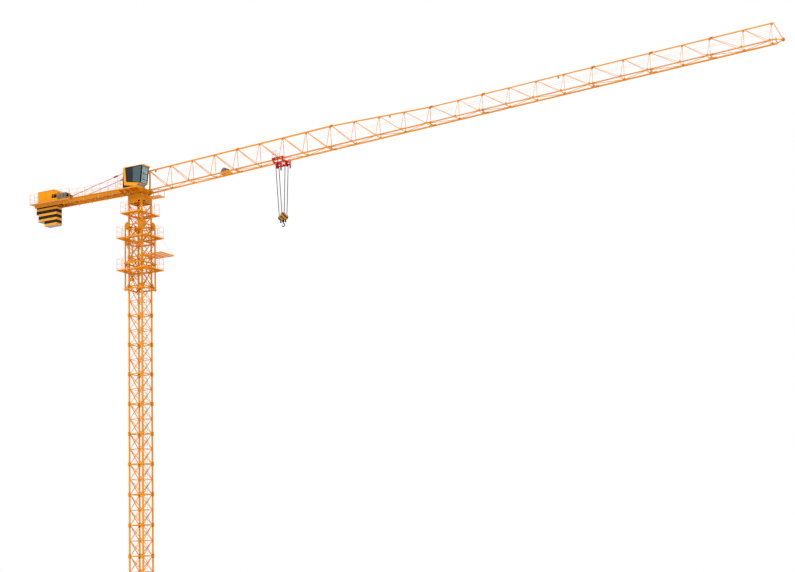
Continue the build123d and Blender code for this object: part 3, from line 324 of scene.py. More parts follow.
class Nodes:
    """A new material with its node tree, and short calls that add and link nodes."""

    def __init__(self, name):
        self.material = bpy.data.materials.new(name)
        self.material.use_nodes = True
        self.tree = self.material.node_tree
        self.shader = self.tree.nodes["Principled BSDF"]
        self.place = self.add("ShaderNodeTexCoord").outputs["Object"]

    def add(self, kind, **settings):
        """A node of that kind with its settings."""
        node = self.tree.nodes.new(kind)
        for key, value in settings.items():
            setattr(node, key, value)
        return node

    def link(self, source, target):
        """A link from an output to an input."""
        self.tree.links.new(source, target)

    def stretched(self, scale):
        """Object coordinates scaled by axis, for streaks."""
        mapping = self.add("ShaderNodeMapping")
        mapping.inputs["Scale"].default_value = scale
        self.link(self.place, mapping.inputs["Vector"])
        return mapping.outputs["Vector"]

    def noise(self, scale, detail=3.0, vector=None):
        """Noise of that scale as a factor."""
        node = self.add("ShaderNodeTexNoise")
        node.inputs["Scale"].default_value = scale
        node.inputs["Detail"].default_value = detail
        self.link(self.place if vector is None else vector, node.inputs["Vector"])
        return node.outputs["Fac"]

    def ramp(self, factor, stops):
        """A colour ramp through (position, colour) stops."""
        node = self.add("ShaderNodeValToRGB")
        elements = node.color_ramp.elements
        while len(elements) < len(stops):
            elements.new(0.5)
        for element, (position, colour) in zip(elements, stops):
            element.position = position
            element.color = colour
        self.link(factor, node.inputs["Fac"])
        return node.outputs["Color"]

    def mixed(self, factor, first, second):
        """Two colours or links mixed by a factor."""
        node = self.add("ShaderNodeMix", data_type="RGBA")
        self.link(factor, node.inputs["Factor"])
        for socket, value in ((node.inputs[6], first), (node.inputs[7], second)):
            if isinstance(value, tuple):
                socket.default_value = value
            else:
                self.link(value, socket)
        return node.outputs[2]

    def spread(self, factor, low, high):
        """A factor's middle range spread between two values."""
        node = self.add("ShaderNodeMapRange")
        node.inputs["From Min"].default_value = 0.3
        node.inputs["From Max"].default_value = 0.7
        node.inputs["To Min"].default_value = low
        node.inputs["To Max"].default_value = high
        self.link(factor, node.inputs["Value"])
        return node.outputs["Result"]

    def math(self, operation, first, second):
        """One arithmetic step on a link and a number."""
        node = self.add("ShaderNodeMath", operation=operation)
        self.link(first, node.inputs[0])
        node.inputs[1].default_value = second
        return node.outputs[0]

    def relief(self, height, strength, distance):
        """Bump on the shader from a height."""
        node = self.add("ShaderNodeBump")
        node.inputs["Strength"].default_value = strength
        node.inputs["Distance"].default_value = distance
        self.link(height, node.inputs["Height"])
        self.link(node.outputs["Normal"], self.shader.inputs["Normal"])

    def finish(self, colour, roughness):
        """The colour and roughness links set on the shader."""
        self.link(colour, self.shader.inputs["Base Color"])
        self.link(roughness, self.shader.inputs["Roughness"])
        return self.material


def paint(name, colour, dust, rough=0.42):
    """Sprayed paint: broad tone changes, faint dusty streaks down the sides and a fine orange-peel relief."""
    nodes = Nodes(name)
    shade = tuple(0.80 * value for value in colour[:3]) + (1.0,)
    tone = nodes.mixed(nodes.spread(nodes.noise(9.0), 0.0, 0.7), colour, shade)
    streak = nodes.noise(1.0, 4.0, nodes.stretched((60.0, 60.0, 5.0)))
    colour_link = nodes.mixed(nodes.spread(streak, 0.0, 0.14), tone, dust)
    grain = nodes.noise(420.0, 2.0)
    nodes.relief(grain, 0.12, 0.0004)
    nodes.shader.inputs["Specular IOR Level"].default_value = 0.12
    return nodes.finish(colour_link, nodes.spread(nodes.noise(45.0), rough - 0.08, rough + 0.12))


def bare_steel(name, colour, metallic, rough):
    """Bare or galvanized steel: cloudy grey with a fine crystal spangle and scratches along X."""
    nodes = Nodes(name)
    spangle = nodes.add("ShaderNodeTexVoronoi")
    spangle.inputs["Scale"].default_value = 190.0
    nodes.link(nodes.place, spangle.inputs["Vector"])
    pale = tuple(min(1.0, 1.25 * value) for value in colour[:3]) + (1.0,)
    dark = tuple(0.72 * value for value in colour[:3]) + (1.0,)
    cloud = nodes.mixed(nodes.spread(nodes.noise(14.0), 0.0, 1.0), dark, colour)
    colour_link = nodes.mixed(nodes.math("MULTIPLY", spangle.outputs["Distance"], 0.35), cloud, pale)
    scratch = nodes.noise(1.0, 3.0, nodes.stretched((20.0, 300.0, 300.0)))
    nodes.relief(scratch, 0.15, 0.0004)
    nodes.shader.inputs["Metallic"].default_value = metallic
    return nodes.finish(colour_link, nodes.spread(nodes.noise(60.0), rough - 0.1, rough + 0.1))


def wire_rope(name):
    """Wire rope: dark steel with slanting strand bands and greasy patches."""
    nodes = Nodes(name)
    bands = nodes.add("ShaderNodeTexWave")
    bands.bands_direction = "DIAGONAL"
    bands.inputs["Scale"].default_value = 160.0
    bands.inputs["Distortion"].default_value = 0.4
    nodes.link(nodes.place, bands.inputs["Vector"])
    strands = nodes.ramp(bands.outputs["Fac"], [(0.2, srgb(6, 6, 7)), (0.8, srgb(30, 30, 32))])
    colour_link = nodes.mixed(nodes.spread(nodes.noise(30.0), 0.0, 0.5), strands, srgb(20, 19, 18))
    nodes.relief(bands.outputs["Fac"], 0.6, 0.0006)
    nodes.shader.inputs["Specular IOR Level"].default_value = 0.15
    return nodes.finish(colour_link, nodes.spread(nodes.noise(80.0), 0.45, 0.65))


def banded(name, dark, light, direction, period, start, share):
    """Two-colour bands: the place along a direction over the period, less its whole part, against a share."""
    nodes = Nodes(name)
    along = nodes.add("ShaderNodeVectorMath", operation="DOT_PRODUCT")
    along.inputs[1].default_value = direction
    nodes.link(nodes.place, along.inputs[0])
    wobble = nodes.math("MULTIPLY", nodes.noise(60.0), 0.0012)
    place = nodes.add("ShaderNodeMath", operation="ADD")
    nodes.link(along.outputs["Value"], place.inputs[0])
    nodes.link(wobble, place.inputs[1])
    past_start = nodes.math("SUBTRACT", place.outputs[0], start)
    turns = nodes.math("FRACT", nodes.math("DIVIDE", past_start, period), 0.0)
    band = nodes.math("GREATER_THAN", turns, share)
    stripes = nodes.mixed(band, light, dark)
    grime = nodes.noise(1.0, 4.0, nodes.stretched((50.0, 50.0, 7.0)))
    colour_link = nodes.mixed(nodes.spread(grime, 0.0, 0.1), stripes, srgb(120, 105, 85))
    nodes.relief(nodes.noise(260.0), 0.3, 0.0006)
    nodes.shader.inputs["Specular IOR Level"].default_value = 0.12
    return nodes.finish(colour_link, nodes.spread(nodes.noise(30.0), 0.5, 0.75))


def tinted_glass(name, colour, clear):
    """Tinted glass: smooth and see-through, with faint dust that dulls it in patches."""
    nodes = Nodes(name)
    nodes.shader.inputs["Transmission Weight"].default_value = clear
    nodes.shader.inputs["IOR"].default_value = 1.45
    dusty = tuple(0.8 * value + 0.05 for value in colour[:3]) + (1.0,)
    colour_link = nodes.mixed(nodes.spread(nodes.noise(25.0), 0.0, 0.35), colour, dusty)
    return nodes.finish(colour_link, nodes.spread(nodes.noise(40.0), 0.02, 0.12))


yellow = paint("crane_yellow_paint", srgb(250, 160, 8), srgb(190, 125, 40))
# The frame yellow is a darker copy of the crane yellow: painted shade for the undersides and frame parts that
# stand in shade.
shade_painted_yellow = paint("frame_yellow_painted_shade", srgb(226, 138, 4), srgb(160, 100, 30))
# The cab yellow is a lighter copy of the crane yellow: painted light for the sunlit cab, its roof trim and
# the deck edges.
light_painted_cab_yellow = paint("cab_yellow_with_painted_light", srgb(254, 170, 28), srgb(190, 130, 50), rough=0.35)
concrete = paint("bare_concrete", srgb(168, 166, 162), srgb(120, 116, 108), rough=0.75)
red = paint("trolley_red_paint", srgb(214, 14, 26), srgb(150, 30, 30))
navy = paint("cab_navy_paint", srgb(24, 32, 46), srgb(60, 62, 64), rough=0.35)
charcoal = paint("cab_charcoal_panel", srgb(40, 44, 50), srgb(70, 70, 68), rough=0.35)
grey = paint("machine_grey_paint", srgb(112, 113, 114), srgb(84, 78, 70), rough=0.5)
# The pale grey is a lighter copy of the machine grey: painted light on the chin grille, which faces down and
# would render in shade; the front blind shares it.
light_painted_grey = paint("grille_grey_with_painted_light", srgb(190, 182, 172), srgb(120, 112, 104), rough=0.5)
# The black serves rubber and black paint, and on the seat ports it is painted shade.
black = paint("black_rubber_paint_and_painted_shade", srgb(12, 12, 13), srgb(40, 38, 35), rough=0.6)
galvanized = bare_steel("galvanized_grating", srgb(205, 200, 190), 0.1, 0.5)
dark_steel = bare_steel("oiled_dark_steel", srgb(54, 54, 56), 0.7, 0.45)
bright_steel = bare_steel("bright_rod_steel", srgb(188, 190, 192), 0.9, 0.25)
rope = wire_rope("wire_rope")
slab_stripes = banded("slab_stripes", srgb(14, 22, 36), srgb(252, 166, 30), (0, 0, 1), 0.058, 4.095, 0.42)
block_stripes = banded("block_stripes", srgb(14, 13, 12), srgb(186, 122, 22), (0.7, 0, 0.7), 0.030, 0.0, 0.64)
side_glass = tinted_glass("cab_side_glass", srgb(84, 114, 120), 0.45)
# The front glass is paler than the side glass: its teal tint carries a painted reflection of the bright sky
# on the leaning front panes.
front_glass = tinted_glass("cab_front_glass_with_painted_reflection", srgb(172, 208, 208), 0.4)


def piece(name, body, slot, material, *shapes, stands_for=(), smooth=38):
    """A mesh object from shapes, shaded smooth below an angle, riding on a body if one is named."""
    points, blocks = join(*shapes)
    mesh = bpy.data.meshes.new(name)
    mesh.from_pydata(points.tolist(), [], [face for block in blocks for face in block.tolist()])
    mesh.shade_smooth()
    mesh.set_sharp_from_angle(angle=radians(smooth))
    mesh.materials.append(material)
    made = bpy.data.objects.new(name, mesh)
    bpy.context.scene.collection.objects.link(made)
    if body:
        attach(made, body)
    if stands_for:
        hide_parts(*stands_for)
    return made


def dress(material, *nodes):
    """The CAD nodes' own material slots filled with a material."""
    for node in nodes:
        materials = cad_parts[node].data.materials
        materials.clear()
        materials.append(material)


# Mast: legs, collars, crossed angle braces, ladder
corner_signs = np.array([(-1.0, -1.0), (1.0, -1.0), (1.0, 1.0), (-1.0, 1.0)])
joint_levels = section_height * np.arange(1, section_count + 1)
side_turns = np.arange(4) * pi / 2
collar_half = mast_half + (collar_size - leg_size) / 2
collar_face = collar_half + collar_size / 2


def uprights(half, low, high):
    """Starts and ends of four upright lines at the corners of a square."""
    square = corner_signs * half
    return np.insert(square, 2, low, axis=1), np.insert(square, 2, high, axis=1)


def collars(size, low, high, chamfer):
    """Square sleeves at every corner and joint of the mast, between two heights about the joint."""
    x, y = collar_half * corner_signs.T[:, :, None]
    return bars_z(box_profile(size, size, chamfer), joint_levels + low, joint_levels + high, x, y)


def on_side(turn, along, height, out):
    """Points on one side of the mast: along the side, up, and out from the axis, turned round Z."""
    along, height, out = np.broadcast_arrays(np.asarray(along, float), height, out)
    x = along * cos(turn) + out * sin(turn)
    y = along * sin(turn) - out * cos(turn)
    return np.stack([x, y, height], axis=-1).reshape(-1, 3)


def out_of(turn):
    """The outward direction of a side."""
    return np.array([sin(turn), -cos(turn), 0.0])


def along_of(turn):
    """The level direction along a side."""
    return np.array([cos(turn), sin(turn), 0.0])


flange_half = 0.0022
piece(
    "mast_corner_posts", "mast", "crane_paint", yellow,
    carry(box_profile(leg_size, leg_size, 0.0016), *uprights(mast_half, base_top, mast_top), y_way),
    collars(collar_size, -collar_height / 2, -flange_half, 0.0016),
    collars(collar_size, flange_half, collar_height / 2, 0.0016),
    collars(collar_size + 0.003, -flange_half, flange_half, 0.0008),
    stands_for=("mast_legs",),
)
bolt_levels = joint_levels[:, None, None] + 0.011 * each_side
joint_bolts = [
    bolts(on_side(turn, both * collar_half, bolt_levels, collar_face), out_of(turn), 0.0021)
    for turn in side_turns
]
piece("mast_joint_bolts", "mast", "dark_steel", dark_steel, *joint_bolts)

half_section = section_height / 2
bay_levels = np.append(half_section * np.arange(2 * section_count + 1), [mast_top - top_bay, mast_top])
bay_lows, bay_highs = np.append(base_top, bay_levels[1:-1]), bay_levels[1:]
mid_levels = np.append(joint_levels - half_section, mast_top - top_bay)
brace = angle_profile(brace_leg, brace_wall)
corner_plate = np.array([(0, 0), (0.018, 0), (0.018, 0.003), (0.003, 0.018), (0, 0.018)])
cross_plate = 0.0065 * np.array(
    [(-1, -0.4), (-0.4, -1), (0.4, -1), (1, -0.4), (1, 0.4), (0.4, 1), (-0.4, 1), (-1, 0.4)]
)


def mast_side(turn):
    """One side of the mast: angles crossed in every bay, ring bars, thin middle bars and gusset plates."""
    out, along = out_of(turn), along_of(turn)

    def bars(profile, near, far, depth, up=z_way):
        """Bars from heights at the side's one end to heights at its other end."""
        starts, ends = on_side(turn, -side_half, near, depth), on_side(turn, side_half, far, depth)
        return carry(profile, starts, ends, up)

    gussets = [
        plates(corner_plate, on_side(turn, -end * side_half, joint_levels, mast_half), end * along,
               up * z_way, 0.0018)
        for end in both for up in both
    ]
    return join(
        bars(brace, bay_lows, bay_highs, mast_half + brace_wall, out),
        bars(brace, bay_highs, bay_lows, mast_half - brace_wall, -out),
        bars(box_profile(0.008, 0.010), joint_levels, joint_levels, mast_half),
        bars(angle_profile(0.005, 0.0012), mid_levels, mid_levels, mast_half),
        plates(cross_plate, on_side(turn, 0, (bay_lows + bay_highs) / 2, mast_half), along, z_way, 0.0022),
        *gussets,
    )


piece(
    "mast_side_bracing", "mast", "crane_paint", yellow, *[mast_side(turn) for turn in side_turns],
    stands_for=("mast_near_side", "mast_jib_side", "mast_far_side", "mast_counter_side"),
)
rungs = np.arange(base_top + rung_spacing, mast_top - rung_spacing / 2, rung_spacing)
piece(
    "mast_ladder_rungs", "mast", "galvanized", galvanized,
    bars_z(box_profile(0.0022, 0.004), base_top, mast_top, both * ladder_half, ladder_y),
    bars_x(round_profile(0.0013, 8), -ladder_half, ladder_half, ladder_y, rungs),
    stands_for=("mast_ladder",),
)


def bar_row(profile, low, high, way, pitch, level):
    """Level bars across a rectangle, at even steps of about the pitch along one of its two ways."""
    places = np.linspace(low[way], high[way], max(2, int((high[way] - low[way]) / pitch)) + 1)
    starts = np.full((len(places), 3), level)
    starts[:, way] = places
    ends = starts.copy()
    starts[:, 1 - way], ends[:, 1 - way] = low[1 - way], high[1 - way]
    return carry(profile, starts, ends)


def grating(low, high, level, pitch=0.0065):
    """A deck of upright flat bars across the short way, tied by thin rods, between two corners."""
    short = int(high[1] - low[1] < high[0] - low[0])
    return join(
        bar_row(box_profile(0.0011, 0.0030, 0.0002), low, high, 1 - short, pitch, level - 0.0016),
        bar_row(box_profile(0.0011, 0.0014, 0.0002), low, high, short, 0.022, level - 0.0010),
    )


def frame_bars(half_x, half_y, level, width, height):
    """Four bars round a rectangle about the mast's axis, the long pair running past the short pair's ends."""
    bar = box_profile(width, height)
    x, y = both * (half_x - width / 2), both * (half_y - width / 2)
    return join(
        bars_x(bar, -half_x, half_x, y, level),
        bars_y(bar, width - half_y, half_y - width, x, level),
    )


def railing(corners, level, spacing=rail_spacing, height=rail_height):
    """Posts at even steps of each run between corners, and rails along the runs at three heights."""
    corners = np.asarray(corners, float)
    starts, ends = corners[:-1], corners[1:]
    runs = np.linalg.norm(ends - starts, axis=1)
    posts = [
        start + (end - start) * np.linspace(0, 1, max(1, round(run / spacing)) + 1)[:, None]
        for start, end, run in zip(starts, ends, runs)
    ]
    feet = np.insert(np.unique(np.round(np.concatenate(posts), 5), axis=0), 2, level, axis=1)
    bar = round_profile(bar_radius, 8)
    rails = [
        carry(bar, np.insert(starts, 2, level + up, axis=1), np.insert(ends, 2, level + up, axis=1))
        for up in (height - rail_radius, height * 0.55, 0.012)
    ]
    return join(carry(round_profile(post_radius, 8), feet, feet + height * z_way, y_way), *rails)


inner_wide, bearer_in = 0.005, 0.012
bearer = box_profile(0.006, 0.010)
platform_frames, platform_grates, platform_rails = [], [], []
for level, half_x, half_y, hole in (top_deck, *cage_decks):
    mid, top, under = level + deck_thickness / 2, level + deck_thickness, level - 0.006
    rim, in_x, in_y = hole + inner_wide, half_x - inner_wide, half_y - inner_wide
    across, end_x, end_y = both * (hole - 0.006), half_x - bearer_in, half_y - bearer_in
    platform_frames += [
        frame_bars(half_x, half_y, mid - 0.002, 0.006, deck_thickness + 0.004),
        frame_bars(rim, rim, mid, inner_wide, deck_thickness),
        bars_x(bearer, -end_x, end_x, across, under),
        bars_y(bearer, -end_y, end_y, across, under),
    ]
    for near, far in ((-in_y, -rim), (rim, in_y)):
        platform_grates.append(grating((-in_x, near), (in_x, far), top))
    for near, far in ((-in_x, -rim), (rim, in_x)):
        platform_grates.append(grating((near, -hole), (far, hole), top))
    rail_corners = corner_signs * (half_x - 0.0025, half_y - 0.0025)
    platform_rails.append(railing([*rail_corners, rail_corners[0]], top))
piece("platform_frames", "mast", "crane_paint", yellow, *platform_frames)
# The mast platform gratings take the darker frame yellow: painted shade for their undersides.
piece("platform_gratings", "mast", "crane_paint", shade_painted_yellow, *platform_grates,
      stands_for=("top_platform", "cage_platforms"))
piece("platform_handrails", "mast", "crane_paint", yellow, *platform_rails, stands_for=("platform_railings",))

# Climbing cage: legs, ring bars, crossed tubes, rounded shoulder plates and guide rollers
cage_clear = cage_half - cage_leg / 2
shoulder_round = 0.040
shoulder_turns = np.linspace(0, pi / 2, 7)
shoulder = np.concatenate([
    [(0.0, -0.090)],
    shoulder_round * np.stack([np.cos(shoulder_turns) - 1, np.sin(shoulder_turns) - 1], axis=1),
    [(-0.060, 0.0), (-0.060, -0.050)],
])


def cage_side(turn, open_middle):
    """One side of the cage: ring bars, tubes crossed between them, and plates at the corners."""
    along = along_of(turn)
    bays = [0, 2] if open_middle else [0, 1, 2]
    lows, highs = cage_levels[:-1][bays], cage_levels[1:][bays]

    def bars(profile, near, far):
        """Bars from heights at the side's one end to heights at its other end."""
        starts, ends = on_side(turn, -cage_clear, near, cage_half), on_side(turn, cage_clear, far, cage_half)
        return carry(profile, starts, ends)

    shapes = [
        bars(box_profile(0.008, 0.012), cage_levels, cage_levels),
        bars(round_profile(0.0040), lows, highs),
        bars(round_profile(0.0040), highs, lows),
    ]
    for end in both:
        top_corner = on_side(turn, end * (cage_half + 0.0050), cage_top, cage_half + 0.0040)
        ring_corners = on_side(turn, -end * cage_clear, cage_levels, cage_half + 0.0038)
        shapes.append(plates(shoulder, top_corner, end * along, z_way, 0.003))
        shapes.append(plates(corner_plate * 1.3, ring_corners, end * along, z_way, 0.002))
    return join(*shapes)


post_lines = uprights(cage_half, cage_bottom, cage_top - shoulder_round)
piece(
    "climbing_cage", "mast", "crane_paint", shade_painted_yellow,
    carry(box_profile(cage_leg, cage_leg, 0.0014), *post_lines, y_way),
    *[cage_side(turn, step == 1) for step, turn in enumerate(side_turns)],
    stands_for=("cage_legs", "cage_sides"),
)
ring_half = cage_half + 0.012
piece("cage_outer_rings", "mast", "crane_paint", yellow,
      *[frame_bars(ring_half, ring_half, level, 0.006, 0.012) for level in cage_levels[:2]])
guide_levels = cage_levels[[0, 1, 3]]
guide_out = (mast_face + cage_half - 0.004) / 2
guides = [
    pins(0.0078, 0.008, on_side(turn, each_side * mast_half, guide_levels, guide_out), along_of(turn), 14)
    for turn in side_turns
]
piece("cage_guide_rollers", "mast", "crane_paint", shade_painted_yellow, *guides)

# Feeding platform with its stays
feed_side, feed_half = 0.1095, 0.113
feed_y = np.linspace(-feed_side, feed_side, 5)
feed_x = np.array([cage_hole + 0.0035, (cage_hole + feed_reach) / 2])
feed_mid = feed_level + 0.0045
feed_edge = 0.010
feed_rail = beam_profile(0.012, 0.009, 0.0018, 0.0020)
piece(
    "feeding_rails", "mast", "crane_paint", yellow,
    bars_x(feed_rail, cage_hole, feed_reach - feed_edge, feed_y, feed_mid),
    bars_y(box_profile(0.007, 0.0085), -feed_half, feed_half, feed_x, feed_mid),
    bars_y(box_profile(feed_edge, 0.012), -feed_half, feed_half, feed_reach - feed_edge / 2, feed_mid),
    stands_for=("feeding_platform",),
)
stay_low = spots(0.332, both * feed_side, 3.599)
stay_high = spots(0.1824, both * feed_side, 3.800)
piece(
    "feeding_stay_rods", "mast", "crane_paint", yellow,
    carry(round_profile(0.0011, 8), stay_low, stay_high),
    turned([(0.0012, -0.003), (0.003, -0.002), (0.003, 0.002), (0.0012, 0.003)], stay_low, y_way, 10),
    stands_for=("feeding_stays",),
)


# Jib
def on_jib(along, across, up):
    """Points by distance out along the jib, sideways, and up from the bottom chords."""
    along, across, up = np.broadcast_arrays(np.asarray(along, float), across, up)
    places = along[..., None] * jib_out + across[..., None] * y_way + up[..., None] * jib_up
    return (jib_root + places).reshape(-1, 3)


def along_jib(profile, low, high, across, up):
    """Bars along the jib between two distances out, at rows or grids of sideways and up."""
    return carry(profile, on_jib(low, across, up), on_jib(high, across, up))


def across_jib(profile, along, half, up):
    """Level bars across the jib, reaching half their length to each side."""
    return carry(profile, on_jib(along, -half, up), on_jib(along, half, up))


def jib_plates(outline, along, across, up, thickness):
    """Plates that stand along the jib, each with its outline's origin at a place on it."""
    return plates(outline, on_jib(along, across, up), jib_out, jib_up, thickness)


def chord_height(along):
    """Height of the top chord's axis: deep, then falling in a straight line, then slim."""
    return np.interp(along, [taper_start, taper_end], [deep_height, slim_height])


def node_place(panel):
    """Distance out to the node at a panel's end: even steps, and a little more for the long panels."""
    return panel * panel_length + np.where(np.isin(panel, long_panels), long_panel_extra, 0.0)


def group_of(panel):
    """Number of the group of sections that a panel is in: near the tower, taper, or outer."""
    return (panel > taper_panels[0]).astype(int) + (panel > taper_panels[1])


panels = np.arange(1, panel_count + 1)
panel_group = group_of(panels)
jib_start = 0.0004
group_starts = np.array([jib_start, taper_start, taper_end])
group_ends = np.array([taper_start, taper_end, jib_end])
foot_along = node_place(panels) - 0.008
near_along = np.maximum(node_place(panels - 1) + 0.027, group_starts[panel_group] + 0.005)
far_along = node_place(panels) + 0.018
web_shapes, life_shapes, boom_shapes = [], [], []
for group, boom in enumerate(boom_sizes):
    mine = panel_group == group
    near, far = near_along[mine], far_along[mine]
    ends = np.array([group_starts[group], group_ends[group]])
    feet = on_jib(foot_along[mine], each_side * chord_half, 0)
    chord = box_profile(chord_sizes[group], chord_sizes[group], 0.0014)
    head_y = each_side * boom / 2
    web_shapes += [
        carry(round_profile(diagonal_radii[group]), feet, on_jib(near, head_y, chord_height(near))),
        carry(round_profile(post_radii[group]), feet, on_jib(far, head_y, chord_height(far))),
        along_jib(chord, *ends, both * chord_half, 0),
    ]
    boom_shapes.append(carry(box_profile(boom, boom, 0.0020), *on_jib(ends, 0, chord_height(ends))))
life_share = 0.6
for side in both:
    feet = on_jib(foot_along, side * chord_half, 0)
    heads = on_jib(far_along, side * boom_sizes[panel_group] / 2, chord_height(far_along))
    line = (1 - life_share) * feet + life_share * heads
    life_shapes.append(carry(round_profile(0.0007, 6), line[:-1], line[1:]))
piece("jib_sides_and_chords", "upperworks", "crane_paint", yellow, *web_shapes,
      stands_for=("jib_root_sides", "jib_taper_sides", "jib_outer_sides"))
piece("jib_top_boom", "upperworks", "crane_paint", yellow, *boom_shapes, stands_for=("jib_top_chord",))
piece("jib_lifelines", "upperworks", "crane_paint", yellow, *life_shapes)

joint_along = section_panels * panel_length + joint_lead
joint_y, gusset_y = 0.0515, 0.0508
lug_outline = np.array(
    [(-0.022, -0.004), (0.022, -0.004), (0.022, 0.001), (0.014, 0.0055), (-0.014, 0.0055), (-0.022, 0.001)]
)
head_plate = np.array([(-0.012, -0.009), (0.012, -0.009), (0.007, 0.001), (-0.007, 0.001)])
foot_plate = np.array([(-0.014, 0.004), (0.016, 0.004), (0.012, 0.013), (0.002, 0.017), (-0.008, 0.012)])
joint_shapes, pin_shapes = [], []
for group, boom in enumerate(boom_sizes):
    here = joint_along[group_of(section_panels) == group]
    up = chord_height(here)
    nodes_here = far_along[panel_group == group]
    under_boom = chord_height(nodes_here) - boom / 2
    sleeve = box_profile(boom + 0.004, boom + 0.004, 0.0018)
    for lead in (-0.0105, 0.0015):
        joint_shapes.append(along_jib(sleeve, here + lead, here + lead + 0.009, 0, up))
    joint_shapes.append(jib_plates(lug_outline, here, 0, up + boom / 2, 0.005))
    joint_shapes.append(jib_plates(head_plate, nodes_here, 0, under_boom, 0.008))
    pin_along = (here + 0.006 * each_side).ravel()
    pin_shapes.append(pins(0.0028, 0.0105, on_jib(pin_along, 0, chord_height(pin_along)), y_way, 10))
sleeve, sleeve_half = box_profile(0.0150, 0.0150, 0.0016), 0.0050
for side in both:
    for middle in (joint_along - 0.0072, joint_along + 0.0072):
        ends = (middle - sleeve_half, middle + sleeve_half)
        joint_shapes.append(along_jib(sleeve, *ends, side * joint_y, 0.0008))
    joint_shapes.append(jib_plates(foot_plate, foot_along, side * gusset_y, 0, 0.0024))
    pin_places = on_jib(joint_along + 0.007 * each_side, side * joint_y, 0)
    pin_shapes.append(pins(0.0028, 0.0095, pin_places, jib_up, 10))
piece("jib_joints_and_gussets", "upperworks", "crane_paint", shade_painted_yellow, *joint_shapes)
piece("jib_joint_pins", "upperworks", "dark_steel", dark_steel, *pin_shapes)

lacing_half = chord_half - bottom_chord / 2
flips = np.where(panels % 2 == 1, lacing_half, -lacing_half)
lacing_starts = np.maximum(node_place(panels - 1) - 0.008, 0.004)
piece(
    "jib_bottom_lacing", "upperworks", "crane_paint", shade_painted_yellow,
    across_jib(round_profile(0.0025), foot_along, lacing_half, 0),
    carry(round_profile(0.0025), on_jib(lacing_starts, -flips, 0), on_jib(foot_along, flips, 0)),
    across_jib(box_profile(0.007, 0.008), joint_along - 0.016, lacing_half, 0),
    stands_for=("jib_bottom_bracing",),
)
piece(
    "trolley_running_rails", "upperworks", "crane_paint", shade_painted_yellow,
    along_jib(box_profile(0.008, 0.003, 0.0004), jib_start, jib_end, both * 0.0625, -0.0045),
    stands_for=("trolley_rails",),
)

# Rope guides, tip frame, trolley winch and the ropes between
guide_half = 0.006
guide_along = np.array([0.096, 2.815, 4.530]) + guide_half
guide_up = chord_height(guide_along + guide_half) - boom_sizes / 2 - 0.0004
guide_plate = np.array(
    [(-0.006, -0.016), (-0.003, -0.0215), (0.003, -0.0215), (0.006, -0.016), (0.006, 0.0), (-0.006, 0.0)]
)
roller = [(0.0030, -0.0042), (0.0052, -0.0042), (0.0036, 0.0), (0.0052, 0.0042), (0.0030, 0.0042)]
piece(
    "rope_guide_brackets", "upperworks", "crane_paint", shade_painted_yellow,
    jib_plates(guide_plate, guide_along, each_side * 0.0051, guide_up, 0.0016),
    along_jib(box_profile(0.0085, 0.0022), guide_along - guide_half, guide_along + guide_half, 0,
              guide_up - 0.0012),
    stands_for=("rope_guides",),
)
piece("rope_guide_rollers", "upperworks", "dark_steel", dark_steel,
      turned(roller, on_jib(guide_along, 0, guide_up - 0.0145), y_way, 14))


def grooved(radius, width, hub=0.0035):
    """Profile of a rope sheave: hub, web, and a rim with a groove round it, mirrored about its middle."""
    half, deep = width / 2, radius - 0.0026
    near = [(hub * 0.5, -half), (hub, -half), (hub, -half * 0.4), (deep * 0.9, -half * 0.4),
            (deep * 0.94, -half), (radius, -half), (radius, -half * 0.8), (deep, -half * 0.25)]
    return near + [(size, -place) for size, place in reversed(near)]


tip_start = jib_end + 0.0004
tip_base, tip_end = tip_start + 0.004, tip_start + 0.062
tip_y, rope_up = both * 0.008, 0.025
tip_points = on_jib(tip_end, tip_y, 0)
piece(
    "jib_tip_frame", "upperworks", "crane_paint", yellow,
    carry(box_profile(0.0075, 0.0075), on_jib(tip_base, both * 0.0485, 0), tip_points),
    carry(round_profile(0.0036), on_jib(tip_start, both * 0.004, slim_height - 0.001), tip_points),
    across_jib(box_profile(0.008, 0.008), tip_base, chord_half, 0),
    carry(box_profile(0.0045, 0.0075), on_jib(tip_base, tip_y, 0), on_jib(tip_base, tip_y, 0.029), y_way),
    across_jib(box_profile(0.0075, 0.0070), tip_base, 0.0105, rope_up),
    stands_for=("jib_tip",),
)
piece("jib_tip_sheave", "upperworks", "crane_paint", shade_painted_yellow,
      turned(grooved(0.016, 0.008), on_jib(tip_end, 0, 0), y_way, 28))

winch_start = 0.900
tray_up = 0.0045
cover = rounded(
    [(0.004, 0.0065), (0.058, 0.0065), (0.058, 0.046), (0.050, 0.060), (0.030, 0.054), (0.004, 0.030)], 1
)
drum_cheek = np.array([(0.066, 0.004), (0.091, 0.004), (0.084, 0.030), (0.073, 0.030)])
trolley_drum = wound_drum(0.004, 0.0160, 0.0238, 0.0218, (0.0142, 0.0132), 0.021, 22)
piece(
    "trolley_winch_tray", "upperworks", "crane_paint", yellow,
    along_jib(box_profile(0.093, 0.0035), winch_start - 0.0145, winch_start + 0.1095, 0, tray_up),
    jib_plates(drum_cheek, winch_start, both * 0.0255, 0, 0.003),
)
piece(
    "trolley_winch_housing", "upperworks", "grey_machinery", grey,
    jib_plates(cover, winch_start, 0, 0, 0.046),
    jib_plates(cover * (0.94, 1.0) + (0.002, 0.0012), winch_start, np.linspace(-0.020, 0.020, 6), 0, 0.003),
    stands_for=("trolley_winch",),
)
piece("trolley_winch_drum", "upperworks", "dark_steel", dark_steel,
      turned(trolley_drum, on_jib(winch_start + 0.0785, 0, 0.0245), y_way, 24))
piece(
    "jib_inner_ropes", "upperworks", "wire_rope", galvanized,
    along_jib(round_profile(0.0009, 8), winch_start + 0.0935, tip_start + 0.001, both * 0.007, rope_up),
    stands_for=("jib_ropes",),
)

